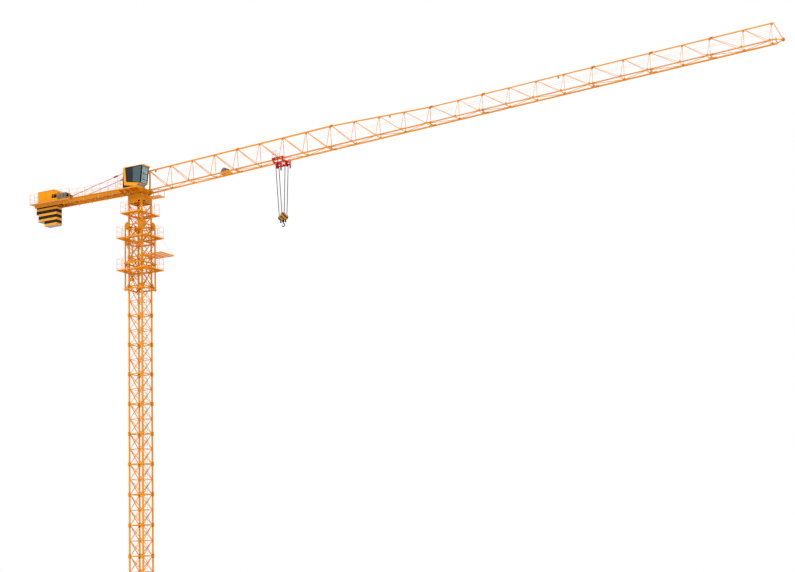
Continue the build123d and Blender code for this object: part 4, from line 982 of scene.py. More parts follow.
# Base feet and slewing seat trim
foot_rib = np.array([(0.0, 0.0), (0.017, 0.0), (0.017, 0.004), (0.003, 0.034), (0.0, 0.034)])
rib_shapes = []
for x_sign, y_sign in corner_signs:
    x_foot = (x_sign * mast_face, y_sign * mast_half, base_top)
    y_foot = (x_sign * mast_half, y_sign * mast_face, base_top)
    rib_shapes.append(plates(foot_rib, x_foot, x_sign * x_way, z_way, 0.003))
    rib_shapes.append(plates(foot_rib, y_foot, y_sign * y_way, z_way, 0.003))
piece("base_foot_ribs", "mast", "crane_paint", shade_painted_yellow, *rib_shapes)
nut_places = np.insert(corner_signs * 0.096, 2, base_top, axis=1)
piece("base_anchor_nuts", "mast", "dark_steel", dark_steel, bolts(nut_places, z_way, 0.0052),
      turned([(0.0026, 0.004), (0.0030, 0.004), (0.0030, 0.014), (0.0020, 0.015)], nut_places, z_way, 12))

seat_half = 0.0875
bolt_along = np.linspace(-0.07, 0.07, 8)
rib_along, rib_out = np.array([-0.052, 0.0, 0.052]), seat_half + 0.001
strap_level, strap_out = 4.2465, seat_half + 0.0008
seat_bolts = [
    bolts(on_side(turn, bolt_along, seat_top - 0.005, seat_half), out_of(turn), 0.0022) for turn in side_turns
]
seat_ribs = [
    carry(box_profile(0.004, 0.003), on_side(turn, rib_along, 4.188, rib_out),
          on_side(turn, rib_along, 4.244, rib_out), y_way)
    for turn in side_turns[[2, 3]]
]
seat_straps = [
    carry(box_profile(0.003, 0.006), on_side(turn, -seat_half, strap_level, strap_out),
          on_side(turn, seat_half, strap_level, strap_out))
    for turn in side_turns
]
piece("seat_flange_bolts", "mast", "dark_steel", dark_steel, *seat_bolts)
piece("seat_ribs", "mast", "crane_paint", shade_painted_yellow, *seat_ribs, *seat_straps)
port = round_profile(1.0, 18) * (0.0150, 0.0085)
port_rim = np.append(port, port[:1], axis=0) * 1.06
port_level = 4.1755
port_shapes, rim_shapes = [], []
for turn, along, wide in ((0.0, 0.052, 1.0), (pi / 2, -0.044, 1.5)):
    middle = on_side(turn, along, port_level, seat_half + 0.0002)
    rim_path = on_side(turn, along + wide * port_rim[:, 0], port_level + port_rim[:, 1], seat_half)
    port_shapes.append(plates(port * (wide, 1), middle, along_of(turn), z_way, 0.0014))
    rim_shapes.append(swept(rim_path, 0.0013, out_of(turn), 6))
# The black oval plates paint the shade inside the seat's port openings.
piece("seat_port_shade_plates", "mast", "dark_steel", black, *port_shapes)
piece("seat_port_rims", "mast", "crane_paint", shade_painted_yellow, *rim_shapes)

# Turntable ribs, slewing drives and the tower head's pins, plates and rungs
neck_rib = [(0.0825, 4.2675), (0.0890, 4.2675), (0.0985, 4.2890), (0.0985, 4.2955), (0.0940, 4.2955)]
neck_along = np.array([-0.062, -0.022, 0.022, 0.062])
neck_ribs = [
    plates(neck_rib, on_side(turn, neck_along, 0.0, 0.0), out_of(turn), z_way, 0.004) for turn in side_turns
]
piece("turntable_ribs", "upperworks", "crane_paint", shade_painted_yellow, *neck_ribs)
ring_turns = np.arange(36) * 2 * pi / 36
ring_radius, ring_level = 0.0862, 4.2615
ring_places = spots(ring_radius * np.cos(ring_turns), ring_radius * np.sin(ring_turns), ring_level)
piece("bearing_bolts", "upperworks", "dark_steel", dark_steel,
      *[bolts(place, place * (1, 1, 0), 0.0019) for place in ring_places])
drive = [(0.006, 0.0), (0.017, 0.0), (0.017, 0.006), (0.0135, 0.008), (0.0135, 0.030), (0.0150, 0.031),
         (0.0150, 0.036), (0.0120, 0.038), (0.0120, 0.072), (0.0105, 0.078), (0.003, 0.078)]
piece("slewing_drives", "upperworks", "grey_machinery", grey,
      turned(drive, spots(-0.079, both * 0.024, deck_top), z_way, 20))
head_gusset = np.array([(0.0, 0.0), (0.030, 0.0), (0.030, 0.004), (0.004, 0.030), (0.0, 0.030)])
gusset_level = deck_top + 0.012
piece(
    "head_gussets", "upperworks", "crane_paint", shade_painted_yellow,
    plates(head_gusset, spots(0.0965, both * 0.0556, gusset_level), -x_way, z_way, 0.0016),
    plates(head_gusset, spots(-0.036, both * 0.0556, gusset_level), x_way, z_way, 0.0016),
)
piece("head_pins", "upperworks", "dark_steel", dark_steel,
      pins(0.0052, 0.0015, peak + 0.0665 * each_side * y_way, y_way, 14),
      pins(0.0045, 0.060, (0.0904, 0, 4.495), y_way, 14))
rung_share = np.linspace(0.12, 0.88, 8)[:, None]
rung_low, rung_high = np.array([-0.064, 0.0, deck_top]), np.array([0.022, 0.0, 4.530])
rung_places = (1 - rung_share) * rung_low + rung_share * rung_high
piece("head_rungs", "upperworks", "galvanized", galvanized,
      carry(round_profile(0.0016, 8), rung_places - 0.045 * y_way, rung_places + 0.045 * y_way))

# Cab: sides, front, sloping chin window, rear door, roof trim and seat
cab_rear, cab_near, cab_far = -0.072, -0.190, -0.070
cab_low, cab_sill, cab_eave = 4.3055, 4.3115, 4.5135
cab_mid = (cab_near + cab_far) / 2
cab_wall, pane_edge, sill_tall = 0.005, 0.008, 0.006
wall_near, wall_far = cab_near + cab_wall, cab_far - cab_wall
pane_near, pane_far = wall_near + pane_edge, wall_far - pane_edge
chin_rear = 0.100
trim_wall = cab_wall - 0.0006
front_foot = np.array([0.148, 0.0, 4.3340])
front_head = np.array([0.168, 0.0, cab_eave])
front_tall = float(np.linalg.norm(front_head - front_foot))
front_up = unit(front_head - front_foot)
front_out = np.array([front_up[2], 0.0, -front_up[0]])
pane_top = front_tall - pane_edge


def side_plate(outline, inset, thickness):
    """The same plate in both sides of the cab, set back from their outer faces."""
    depth = inset + thickness / 2
    return plates(outline, [(0, cab_near + depth, 0), (0, cab_far - depth, 0)], x_way, z_way, thickness)


def rear_plate(outline, place, thickness):
    """A plate of y and z in the cab's rear, its middle at a place forward of the rear face."""
    return plates(outline, (cab_rear + place, 0, 0), y_way, z_way, thickness)


def on_front(y, up, out):
    """A place on the cab's leaning front: sideways, up the lean, and out from its face."""
    return front_foot + up * front_up + out * front_out + y * y_way


def front_plate(low_y, high_y, low, high, inset=0, thickness=cab_wall):
    """A rectangle in the leaning front, between two heights up the lean, set back from its face."""
    outline = rectangle((low_y, low), (high_y, high))
    return plates(outline, on_front(0, 0, -inset - thickness / 2), y_way, front_up, thickness)


strip_low, strip_in, sill_end = (-0.058, 4.3320), (-0.032, 4.3605), (0.136, 4.3284)
sill_rear, frame_rear, wedge_tip = (-0.024, 4.3590), (-0.0237, 4.3648), (0.070, cab_low)
pillar_low, pillar_high = (0.137, 4.3340), (0.157, cab_eave)
glass_top = cab_eave - pane_edge
pillar_lean = (pillar_high[0] - pillar_low[0]) / (pillar_high[1] - pillar_low[1])
glass_corner = (pillar_high[0] - pane_edge * pillar_lean, glass_top)
post_rear, post_front = (0.048, 4.3511), (0.051, 4.3505)
frame_top = (-0.0350, glass_top)
piece(
    "cab_yellow_frame", "upperworks", "cab_paint", light_painted_cab_yellow,
    side_plate([strip_low, strip_in, (-0.044, cab_eave), (cab_rear, cab_eave)], 0, cab_wall),
    side_plate([strip_low, wedge_tip, (chin_rear, cab_sill), sill_end, strip_in], 0, cab_wall),
    rear_plate(rectangle((wall_near, cab_low), (wall_far, cab_eave)), cab_wall / 2, cab_wall),
    front_plate(wall_near, wall_far, 0, sill_tall),
    box_between((cab_rear + cab_wall, wall_near, cab_low), (chin_rear, wall_far, cab_sill)),
    stands_for=("cab_walls", "cab_floor"),
)
bar_tall, bar_lows = 0.0034, (0.034, 0.095)
bar_tops = [low + bar_tall for low in bar_lows]
trim_outlines = (
    [(cab_rear, cab_low), strip_low, (cab_rear, cab_eave)],
    [(cab_rear, cab_low), wedge_tip, strip_low],
    [(-0.0436, glass_top), glass_corner, pillar_high, (-0.0440, cab_eave)],
    [strip_in, sill_rear, frame_top, (-0.0436, glass_top)],
    [sill_rear, sill_end, pillar_low, frame_rear],
    [sill_end, (front_foot[0], front_foot[2]), (front_head[0], cab_eave), pillar_high, pillar_low],
    [post_rear, post_front, (post_front[0], glass_top), (post_rear[0], glass_top)],
)
piece(
    "cab_navy_trim", "upperworks", "cab_paint", navy,
    *[side_plate(outline, 0.0003, trim_wall) for outline in trim_outlines],
    front_plate(wall_near, pane_near, sill_tall, front_tall),
    front_plate(pane_far, wall_far, sill_tall, front_tall),
    front_plate(pane_near, pane_far, pane_top, front_tall),
    *[front_plate(pane_near, pane_far, low, high) for low, high in zip(bar_lows, bar_tops)],
)
piece(
    "cab_charcoal_panels", "upperworks", "cab_paint", charcoal,
    side_plate([frame_rear, post_rear, (post_rear[0], glass_top), frame_top], 0.0012, 0.003),
    rear_plate(rounded(rectangle((-0.160, 4.318), (-0.100, 4.488)), 2), -0.0003, 0.0014),
)
slat_levels = np.linspace(4.372, 4.492, 7)
slat_ends = pillar_low[0] + (slat_levels - pillar_low[1]) * pillar_lean
slat_y = np.array([[wall_near + 0.0015], [wall_far - 0.0015]])
piece("cab_side_blinds", "upperworks", "cab_paint", charcoal,
      bars_x(box_profile(0.0008, 0.0055, 0.0002), 0.052, slat_ends, slat_y, slat_levels))
piece(
    "cab_side_windows", "upperworks", "cab_glazing", side_glass,
    side_plate([post_front, pillar_low, glass_corner, (post_front[0], glass_top)], 0.0015, 0.002),
    rear_plate(rounded(rectangle((-0.150, 4.400), (-0.110, 4.478)), 2), -0.0010, 0.0012),
    stands_for=("cab_glass",),
)
panes = zip((sill_tall, *bar_tops), (*bar_lows, pane_top))
piece("cab_front_windows", "upperworks", "cab_glazing", front_glass,
      *[front_plate(pane_near, pane_far, low, high, 0.0015, 0.002) for low, high in panes])
piece("cab_front_blind", "upperworks", "cab_paint", light_painted_grey,
      front_plate(-0.176, -0.140, bar_tops[0], bar_lows[1], 0.0045, 0.0010))
chin_foot = np.array([chin_rear, 0.0, cab_sill])
chin_run = front_foot - chin_foot
chin_long = float(np.linalg.norm(chin_run))
chin_slats = chin_foot + np.linspace(0.10, 0.90, 13)[:, None] * chin_run + (-0.0008, 0, 0.0012)
slat_near, slat_far = (wall_near + 0.001) * y_way, (wall_far - 0.001) * y_way
chin_edge = chin_foot + spots(0, (-0.1865, -0.0735), 0.0016)
chin_bar = chin_foot + 0.96 * chin_run + 0.0014 * z_way
# The chin grille takes the lighter grey: painted light on its downward-facing slats.
piece(
    "cab_chin_grille", "upperworks", "grey_machinery", light_painted_grey,
    carry(box_profile(0.0026, 0.0010, 0.0002), chin_slats + slat_near, chin_slats + slat_far),
    plates(rectangle((0.0, wall_near), (chin_long, wall_far)), chin_foot + (-0.0012, 0, 0.0024),
           unit(chin_run), y_way, 0.0012),
)
piece(
    "cab_chin_frame", "upperworks", "cab_paint", navy,
    carry(box_profile(0.0050, 0.0034), chin_edge, chin_edge + chin_run),
    carry(box_profile(0.0050, 0.0034), chin_bar + slat_near, chin_bar + slat_far),
)
piece(
    "cab_roof_trim", "upperworks", "cab_paint", light_painted_cab_yellow,
    bars_y(box_profile(0.004, 0.010), -0.1895, -0.0705, 0.1798, 4.5095),
    plates([(0.168, 4.5005), (0.1815, 4.5070), (0.1815, cab_eave), (0.168, cab_eave)],
           spots(0, (-0.1885, -0.0715), 0), x_way, z_way, 0.003),
)
handle_y, latch_x = cab_near + 0.0011, cab_rear - 0.0028
piece(
    "cab_fittings", "upperworks", "dark_steel", black,
    carry(round_profile(0.0009, 8), on_front(-0.130, 0.012, 0.0012), on_front(-0.148, 0.085, 0.0012)),
    carry(box_profile(0.0010, 0.0022, 0.0002), on_front(-0.141, 0.055, 0.0010),
          on_front(-0.155, 0.120, 0.0010)),
    bars_z(round_profile(0.0011, 8), 4.3950, 4.4300, 0.0400, handle_y),
    bars_z(round_profile(0.0012, 8), 4.3900, 4.4120, latch_x, -0.108),
)
seat_foot = [(0.006, 0), (0.014, 0), (0.012, 0.004), (0.006, 0.008), (0.006, 0.030), (0.016, 0.034),
             (0.004, 0.034)]
lever = [(0.0012, 0), (0.0016, 0), (0.0012, 0.016), (0.0026, 0.018), (0.0026, 0.024), (0.0010, 0.026)]
cushion = rounded(box_profile(0.050, 0.014, 0.005), 1)
back_rest = rounded(box_profile(0.046, 0.013, 0.005), 1)
head_rest = rounded(box_profile(0.026, 0.010, 0.004), 1)
console_low, console_top = 4.3380, 4.3720
piece(
    "cab_seat_and_consoles", "upperworks", "cab_paint", black,
    turned(seat_foot, (0.052, cab_mid, cab_sill), z_way, 16),
    carry(cushion, (0.028, cab_mid, 4.3520), (0.080, cab_mid, 4.3540)),
    carry(back_rest, (0.032, cab_mid, 4.3560), (0.016, cab_mid, 4.4420), x_way),
    carry(head_rest, (0.0155, cab_mid, 4.4460), (0.0115, cab_mid, 4.4680), x_way),
    box_between((0.038, -0.1700, console_low), (0.092, -0.1590, console_top), 0.002),
    box_between((0.038, -0.1010, console_low), (0.092, -0.0900, console_top), 0.002),
    turned(lever, spots(0.082, (-0.1645, -0.0955), console_top), z_way, 10),
)
bracket_x = np.array([-0.135, -0.070, 0.0, 0.050, 0.090])
deck_rear, deck_front, deck_in = -0.143, 0.100, -0.100
deck_low, edge_low, edge_wide = 4.2965, 4.2935, 0.004
bracket = np.array([(-0.186, 4.2880), (deck_in, 4.2690), (deck_in, deck_low), (-0.186, deck_low)])
deck_near = cab_near + edge_wide
piece(
    "cab_deck_plate", "upperworks", "crane_paint", shade_painted_yellow,
    plates(bracket, spots(bracket_x, 0, 0), y_way, z_way, 0.004),
    box_between((deck_rear + edge_wide, deck_near, deck_low), (deck_front - edge_wide, deck_in, deck_top)),
    stands_for=("cab_platform",),
)
# The deck edges take the lighter cab yellow: painted light along their sunlit faces.
piece(
    "cab_deck_edges", "upperworks", "crane_paint", light_painted_cab_yellow,
    box_between((deck_rear, cab_near, edge_low), (deck_front, deck_near, deck_top)),
    *[box_between((x, deck_near, edge_low), (x + edge_wide, deck_in, deck_top))
      for x in (deck_rear, deck_front - edge_wide)],
)
piece("cab_deck_handrails", "upperworks", "crane_paint", yellow,
      railing([(-0.076, -0.1880), (-0.1405, -0.1880), (-0.1405, -0.1030)], deck_top, 0.045))

# Platform under the jib's root: open frame, light grating and four hangers
root_rear, root_front, root_half = 0.130, 0.275, 0.051
root_mid, root_top = 4.207, 4.211
root_y = np.array([-0.048, -0.017, 0.017, 0.048])
root_x = np.array([0.133, 0.2025, 0.272])
hanger_x = np.array([[0.135], [0.270]])
hanger_tops = jib_root[2] + (hanger_x - jib_root[0]) * np.tan(jib_rise) - 0.0064
piece(
    "root_platform_frame", "upperworks", "crane_paint", yellow,
    bars_x(box_profile(0.006, 0.008), root_rear, root_front, root_y, root_mid),
    bars_y(box_profile(0.006, 0.007), -root_half, root_half, root_x, root_mid),
    bars_z(box_profile(0.004, 0.004), root_top, hanger_tops, hanger_x, both * 0.0485),
    stands_for=("root_platform",),
)
piece("root_platform_grating", "upperworks", "galvanized", galvanized,
      grating((0.136, -0.014), (0.269, 0.014), root_top, 0.010))

# Counter-jib: beams, lacing, grating walk, railings and rear platform
tie_x = np.linspace(-0.108, walk_rear, 10)
zigzag = np.where(np.arange(10) % 2 == 0, -0.064, 0.064)
zig_points = spots(tie_x, zigzag, beam_bottom + 0.004)
beam_mid = (beam_bottom + beam_top) / 2
girder = beam_profile(0.010, beam_top - beam_bottom, 0.0040, 0.0040)
# The girders take the darker frame yellow: painted shade for their shaded sides.
piece(
    "counter_jib_girders", "upperworks", "crane_paint", shade_painted_yellow,
    bars_x(girder, beam_front, beam_rear, both * beam_y, beam_mid),
    stands_for=("counter_jib_beams",),
)
piece(
    "counter_jib_lacing", "upperworks", "crane_paint", shade_painted_yellow,
    bars_y(angle_profile(0.008, 0.0016), -0.065, 0.065, tie_x, beam_bottom + 0.008),
    carry(round_profile(0.0026), zig_points[:-1], zig_points[1:]),
    stands_for=("counter_jib_ties",),
)
walk_edge = box_profile(0.0045, 0.0040, 0.0004)
piece("counter_walk_edges", "upperworks", "crane_paint", yellow,
      bars_x(walk_edge, beam_front - 0.0004, walk_rear, both * 0.0727, walk_top - 0.002))
piece("counter_walk_grating", "upperworks", "galvanized", galvanized,
      grating((walk_rear, -beam_y), (beam_front - 0.0008, beam_y), walk_top, 0.008),
      stands_for=("counter_jib_deck",))
piece("counter_walk_railings", "upperworks", "crane_paint", yellow,
      *[railing([(-0.160, y), (-0.860, y)], walk_top, 0.100, 0.090) for y in both * 0.0732],
      stands_for=("counter_jib_railings",))
clip_x = np.array([-0.292, -0.479, -0.672, -0.840])
clip_outline = np.array([(-0.005, -0.017), (0.004, -0.017), (0.006, 0.002), (-0.002, 0.002)])
piece("counter_beam_clips", "upperworks", "galvanized", galvanized,
      plates(clip_outline, spots(clip_x, each_side * 0.0742, beam_mid - 0.011), x_way, z_way, 0.0016))

rear_front, rear_back, rear_half = -0.830, -1.3596, 0.115
rear_level, rear_top = 4.334, 4.340
rear_bar, grate_in, grate_out, beam_side = 0.005, 0.080, 0.110, 0.0755
rear_rail, rear_rail_y, rear_rail_height = rear_back + 0.003, 0.1125, 0.105
knee_x = np.linspace(-0.85, -1.31, 5)
knee_feet = spots(knee_x, each_side * beam_side, beam_bottom + 0.006)
piece(
    "rear_platform_frame", "upperworks", "crane_paint", yellow,
    twin_blocks((rear_back, grate_out, rear_level + 0.001), (rear_front, rear_half, rear_top)),
    twin_blocks((beam_rear, beam_side, rear_level), (rear_front, 0.0795, rear_top)),
    *[twin_blocks((x - rear_bar / 2, beam_side, rear_level), (x + rear_bar / 2, grate_out, rear_top))
      for x in (rear_front - rear_bar / 2, beam_rear)],
    box_between((rear_back, -grate_out, rear_level), (rear_back + rear_bar, grate_out, rear_top)),
    carry(box_profile(0.004, 0.004), knee_feet, spots(knee_x, each_side * 0.108, rear_level)),
)
piece(
    "rear_platform_grating", "upperworks", "galvanized", galvanized,
    *[grating((beam_rear, low), (rear_front - rear_bar, high), rear_top)
      for low, high in ((-grate_out, -grate_in), (grate_in, grate_out))],
    grating((rear_back + rear_bar, -grate_out), (beam_rear - 0.003, grate_out), rear_top),
    stands_for=("rear_platform",),
)
piece(
    "rear_platform_railings", "upperworks", "crane_paint", yellow,
    *[railing([(rear_front - 0.003, y), (rear_rail, y)], rear_top, 0.105, rear_rail_height)
      for y in both * rear_rail_y],
    railing([(rear_rail, -rear_rail_y), (rear_rail, rear_rail_y)], rear_top, rail_spacing, rear_rail_height),
)

# Tie rods with turnbuckles
rod_foot = np.array([-0.875, 0.0, walk_top + 0.012])
rod_dir = unit(peak - rod_foot)
rod_up = np.array([-rod_dir[2], 0.0, rod_dir[0]])
rod_y = spots(0, both * 0.062, 0)
fork_y = spots(0, each_side * 0.062 + both * 0.0034, 0)
buckle = [(0.0028, -0.036), (0.0048, -0.035), (0.0048, -0.027), (0.0084, -0.022), (0.0094, 0.0),
          (0.0084, 0.022), (0.0048, 0.027), (0.0048, 0.035), (0.0028, 0.036)]
fork = rounded(rectangle((-0.012, -0.006), (0.012, 0.006)), 2)
piece(
    "tie_rod_lines", "upperworks", "red_paint", red,
    carry(round_profile(0.0030), rod_foot + rod_y, peak + rod_y),
    turned(buckle, peak - 0.300 * rod_dir + rod_y, rod_dir, 16),
    plates(fork, rod_foot + 0.008 * rod_dir + fork_y, rod_dir, rod_up, 0.0018),
    plates(fork, peak - 0.014 * rod_dir + fork_y, rod_dir, rod_up, 0.0018),
    stands_for=("tie_rods",),
)
foot_lug = rounded(
    [(-0.010, 0.0), (0.010, 0.0), (0.010, 0.010), (0.006, 0.019), (-0.006, 0.019), (-0.010, 0.010)], 1
)
piece("tie_rod_lugs", "upperworks", "crane_paint", shade_painted_yellow,
      plates(foot_lug, rod_y + (rod_foot[0], 0, walk_top), x_way, z_way, 0.0046),
      twin_blocks((-0.887, 0.055, walk_top), (-0.863, 0.069, walk_top + 0.003)))

# Counterweights, machinery house and hoist winch
slab_x = -1.054 - (np.arange(10) + 0.5) * 0.027
slab_low = beam_bottom - np.array([0.205] * 6 + [0.150] * 3 + [0.068])
piece("counterweight_slabs", "upperworks", "striped_concrete", slab_stripes,
      bars_z(box_profile(0.0266, 0.090, 0.0010), slab_low, beam_top, slab_x, 0),
      stands_for=("counterweights",))
piece("counterweight_undersides", "upperworks", "striped_concrete", concrete,
      bars_z(box_profile(0.0256, 0.089, 0.0012), slab_low - 0.0006, slab_low + 0.001, slab_x, 0))
piece("counterweight_hangers", "upperworks", "crane_paint", shade_painted_yellow,
      bars_y(box_profile(0.0135, 0.008), -0.075, 0.075, slab_x, beam_top + 0.004))

house_side, house_low, house_high = 0.068, 4.348, 4.473
house_front, house_back, slope_back = -1.027, -1.284, -1.063
seam_x, seam_y = np.array([-1.115, -1.178, -1.241]), each_side * (house_side + 0.0004)
trim_y, eave_level = both * (house_side + 0.0010), house_high - 0.0020
seam, trim = box_profile(0.0022, 0.0012, 0.0003), box_profile(0.0030, 0.0050)
piece(
    "machinery_house_trim", "upperworks", "crane_paint", yellow,
    bars_z(seam, house_low + 0.004, house_high - 0.003, seam_x, seam_y),
    bars_x(trim, house_back, slope_back, trim_y, eave_level),
    carry(trim, spots(slope_back, trim_y, eave_level), spots(house_front, trim_y, eave_level - 0.030)),
    bars_x(trim, house_back, house_front, trim_y, house_low + 0.003),
    box_between((-1.190, -0.020, house_high), (-1.130, 0.020, house_high + 0.006), 0.002),
)
louvre_levels = np.linspace(4.3840, 4.4180, 9)
piece(
    "machinery_house_louvres", "upperworks", "dark_steel", black,
    twin_blocks((-1.1000, house_side, 4.3800), (-1.0330, house_side + 0.0006, 4.4220), 0.0002),
    bars_x(box_profile(0.0022, 0.0028, 0.0003), -1.0980, -1.0350, trim_y[:, None], louvre_levels),
)

drum_centre = (-0.986, 0.0, walk_top + 0.048)
motor_y, motor_level = -0.030, walk_top + 0.042
bearing = np.array([(-1.016, 0.010), (-0.956, 0.010), (-0.974, 0.056), (-0.998, 0.056)])
hoist_drum = wound_drum(0.006, 0.0355, 0.0415, 0.0380, (0.0300, 0.0288), 0.036, 38)
piece(
    "hoist_winch_frame", "upperworks", "crane_paint", shade_painted_yellow,
    twin_blocks((-1.022, 0.056, walk_top), (-0.900, 0.068, walk_top + 0.012)),
    *[box_between((x - 0.006, -0.056, walk_top), (x + 0.006, 0.056, walk_top + 0.010))
      for x in (-1.012, -0.955, -0.908)],
    plates(bearing, spots(0, both * 0.050, walk_top), x_way, z_way, 0.006),
)
piece("hoist_winch_drum", "upperworks", "wire_rope", dark_steel, turned(hoist_drum, drum_centre, y_way, 30),
      stands_for=("hoist_winch",))
fin_x = np.linspace(-0.020, 0.020, 22)
fin_radius = np.where(np.arange(22) % 2 == 0, 0.0275, 0.0235)
motor = [(0.004, -0.024), (0.022, -0.024), (0.0235, -0.021), *zip(fin_radius, fin_x), (0.0235, 0.021),
         (0.004, 0.022)]
motor_cap = [(0.005, 0.0), (0.0265, 0.0), (0.0270, 0.004), (0.0270, 0.012), (0.0220, 0.017), (0.006, 0.018)]
piece(
    "hoist_winch_motor", "upperworks", "grey_machinery", grey,
    turned(motor, (-0.930, motor_y, motor_level), x_way, 26),
    box_between((-0.944, -0.006, walk_top + 0.012), (-0.906, 0.050, walk_top + 0.060), 0.004),
    box_between((-0.940, -0.040, walk_top + 0.066), (-0.916, -0.018, walk_top + 0.076), 0.002),
    *[box_between((x, -0.0700, walk_top + 0.013), (x + 0.0345, -0.0585, walk_top + 0.077), 0.004)
      for x in (-1.0185, -0.9790, -0.9395)],
)
piece("hoist_winch_cap", "upperworks", "dark_steel", black,
      turned(motor_cap, (-0.9085, motor_y, motor_level), x_way, 24))

# Climbing jack and hydraulic unit on the cage
jack_y = -0.09525
jack_place = (-0.029, jack_y, 3.560)
jack_body = [(0.003, 0.0), (0.0070, 0.0), (0.0070, 0.010), (0.0060, 0.012), (0.0060, 0.128), (0.0072, 0.130),
             (0.0072, 0.142), (0.003, 0.143)]
jack_rod = [(0.0036, 0.143), (0.0036, 0.200), (0.0060, 0.202), (0.0060, 0.213), (0.003, 0.215)]
piece(
    "climbing_jack_body", "mast", "crane_paint", shade_painted_yellow,
    bars_x(box_profile(0.0150, 0.018), -0.074, 0.016, jack_y, 3.551),
    turned(jack_body, jack_place, z_way, 18),
    stands_for=("climbing_jack",),
)
piece("climbing_jack_rod", "mast", "dark_steel", bright_steel, turned(jack_rod, jack_place, z_way, 16))
tank_top, lid_top = 3.3700, 3.3730
piece(
    "hydraulic_tank", "mast", "crane_paint", shade_painted_yellow,
    box_between((-0.046, -0.1400, 3.3390), (0.006, -0.1112, tank_top), 0.003),
    box_between((-0.044, -0.1380, tank_top), (0.004, -0.1140, lid_top), 0.001),
    stands_for=("hydraulic_unit",),
)
pump = [(0.003, 0.0), (0.0090, 0.0), (0.0090, 0.003), (0.0075, 0.004), (0.0075, 0.016), (0.0060, 0.020),
        (0.002, 0.020)]
hose_turn = np.linspace(0, pi, 15)
hose_path = spots(-0.034 + 0.010 * np.cos(hose_turn), -0.1180, 3.3740 + 0.018 * np.sin(hose_turn))
piece("hydraulic_pump", "mast", "grey_machinery", grey,
      turned(pump, (-0.008, -0.126, lid_top), z_way, 18), swept(hose_path, 0.0016, y_way, 8))

# Trolley: open red side frames, cross bars, sheave arms, flanged wheels, grooved sheaves and basket
trolley_y, arm_y, cross_half = 0.0735, 0.0065, 0.0725


def trolley_plates(outline, thickness, y=trolley_y):
    """Plates of one outline on both sides of the trolley: along and up carried through the thickness."""
    return jib_plates(outline, trolley_along, both * y, 0, thickness)


end_bar = np.array([(-0.070, 0.014), (-0.050, -0.044), (-0.039, -0.044), (-0.059, 0.014)])
top_bar = [(-0.070, 0.014), (-0.067, 0.0045), (0.067, 0.0045), (0.070, 0.014)]
foot_bar = [(-0.0534, -0.0340), (-0.050, -0.044), (0.050, -0.044), (0.0534, -0.0340)]
wheel_up, wheel_half = 0.0063, 0.050
knob = round_profile(0.0105, 18)
arm_outline = rounded(rectangle((-0.010, -0.070), (0.010, -0.014)), 2)
arm_disc = round_profile(0.0165, 24) + (0, sheave_up)
cross_along = trolley_along + both * sheave_half
prong_along = cross_along + 0.040
piece(
    "trolley_side_frames", "trolley", "red_paint", red,
    trolley_plates(top_bar, 0.0046),
    trolley_plates(foot_bar, 0.0046),
    trolley_plates(end_bar, 0.0042),
    trolley_plates(end_bar[::-1] * (-1, 1), 0.0042),
    trolley_plates(rectangle((-0.005, -0.040), (0.005, 0.010)), 0.0038),
    *[trolley_plates(knob + (end * 0.052, wheel_up), 0.0034) for end in both],
    *[trolley_plates(arm_outline + (end * sheave_half, 0), 0.0030, arm_y) for end in both],
    *[trolley_plates(arm_disc + (end * sheave_half, 0), 0.0026, arm_y) for end in both],
    across_jib(box_profile(0.0115, 0.0115, 0.0012), cross_along, cross_half, -0.022),
    across_jib(box_profile(0.0090, 0.0080), trolley_along, cross_half, -0.0385),
    carry(round_profile(0.0030, 8), on_jib(cross_along, each_side * 0.0700, -0.030),
          on_jib(cross_along, each_side * 0.0080, -0.062)),
    along_jib(box_profile(0.0030, 0.0090), cross_along[0], trolley_along + 0.095, both * 0.0066, sheave_up),
    carry(box_profile(0.0160, 0.0050), on_jib(prong_along, 0, -0.056), on_jib(prong_along, 0, -0.104), y_way),
    stands_for=("trolley_frame",),
)
wheel = [(0.003, 0.0595), (0.0086, 0.0595), (0.0090, 0.0600), (0.0090, 0.0655), (0.0086, 0.0660),
         (0.0050, 0.0662), (0.0030, 0.0668), (0.0030, 0.0715)]
wheel_centres = on_jib(trolley_along + both * wheel_half, 0, wheel_up)
sheave_centres = on_jib(cross_along, 0, sheave_up)
piece("trolley_rollers", "trolley", "dark_steel", dark_steel,
      *[turned(wheel, wheel_centres, side * y_way, 20) for side in both], stands_for=("trolley_wheels",))
piece("trolley_rope_sheaves", "trolley", "dark_steel", dark_steel,
      turned(grooved(0.0171, 0.008), sheave_centres, y_way, 28), pins(0.0034, 0.0088, sheave_centres, y_way),
      stands_for=("trolley_sheaves",))
basket_near, basket_in, floor_up = -0.1152, -0.0765, 0.0014
basket_rear, basket_front = trolley_along - 0.036, trolley_along + 0.026
basket_posts = np.linspace(basket_rear + 0.0015, basket_front - 0.0015, 4)
basket_rails = np.array([0.0015, 0.033, 0.0645])
floor_y = np.array([-0.104, -0.092, -0.080])
basket_tube, floor_bar = round_profile(0.0011, 8), box_profile(0.0030, 0.0028, 0.0004)
piece(
    "trolley_basket_rails", "trolley", "red_paint", red,
    carry(basket_tube, on_jib(basket_posts, basket_near, 0.0), on_jib(basket_posts, basket_near, 0.0655),
          y_way),
    along_jib(basket_tube, basket_rear, basket_front, basket_near, basket_rails),
    carry(floor_bar, on_jib(basket_posts, basket_near, floor_up), on_jib(basket_posts, basket_in, floor_up)),
    along_jib(floor_bar, basket_rear, basket_front, floor_y, floor_up),
    stands_for=("trolley_basket",),
)

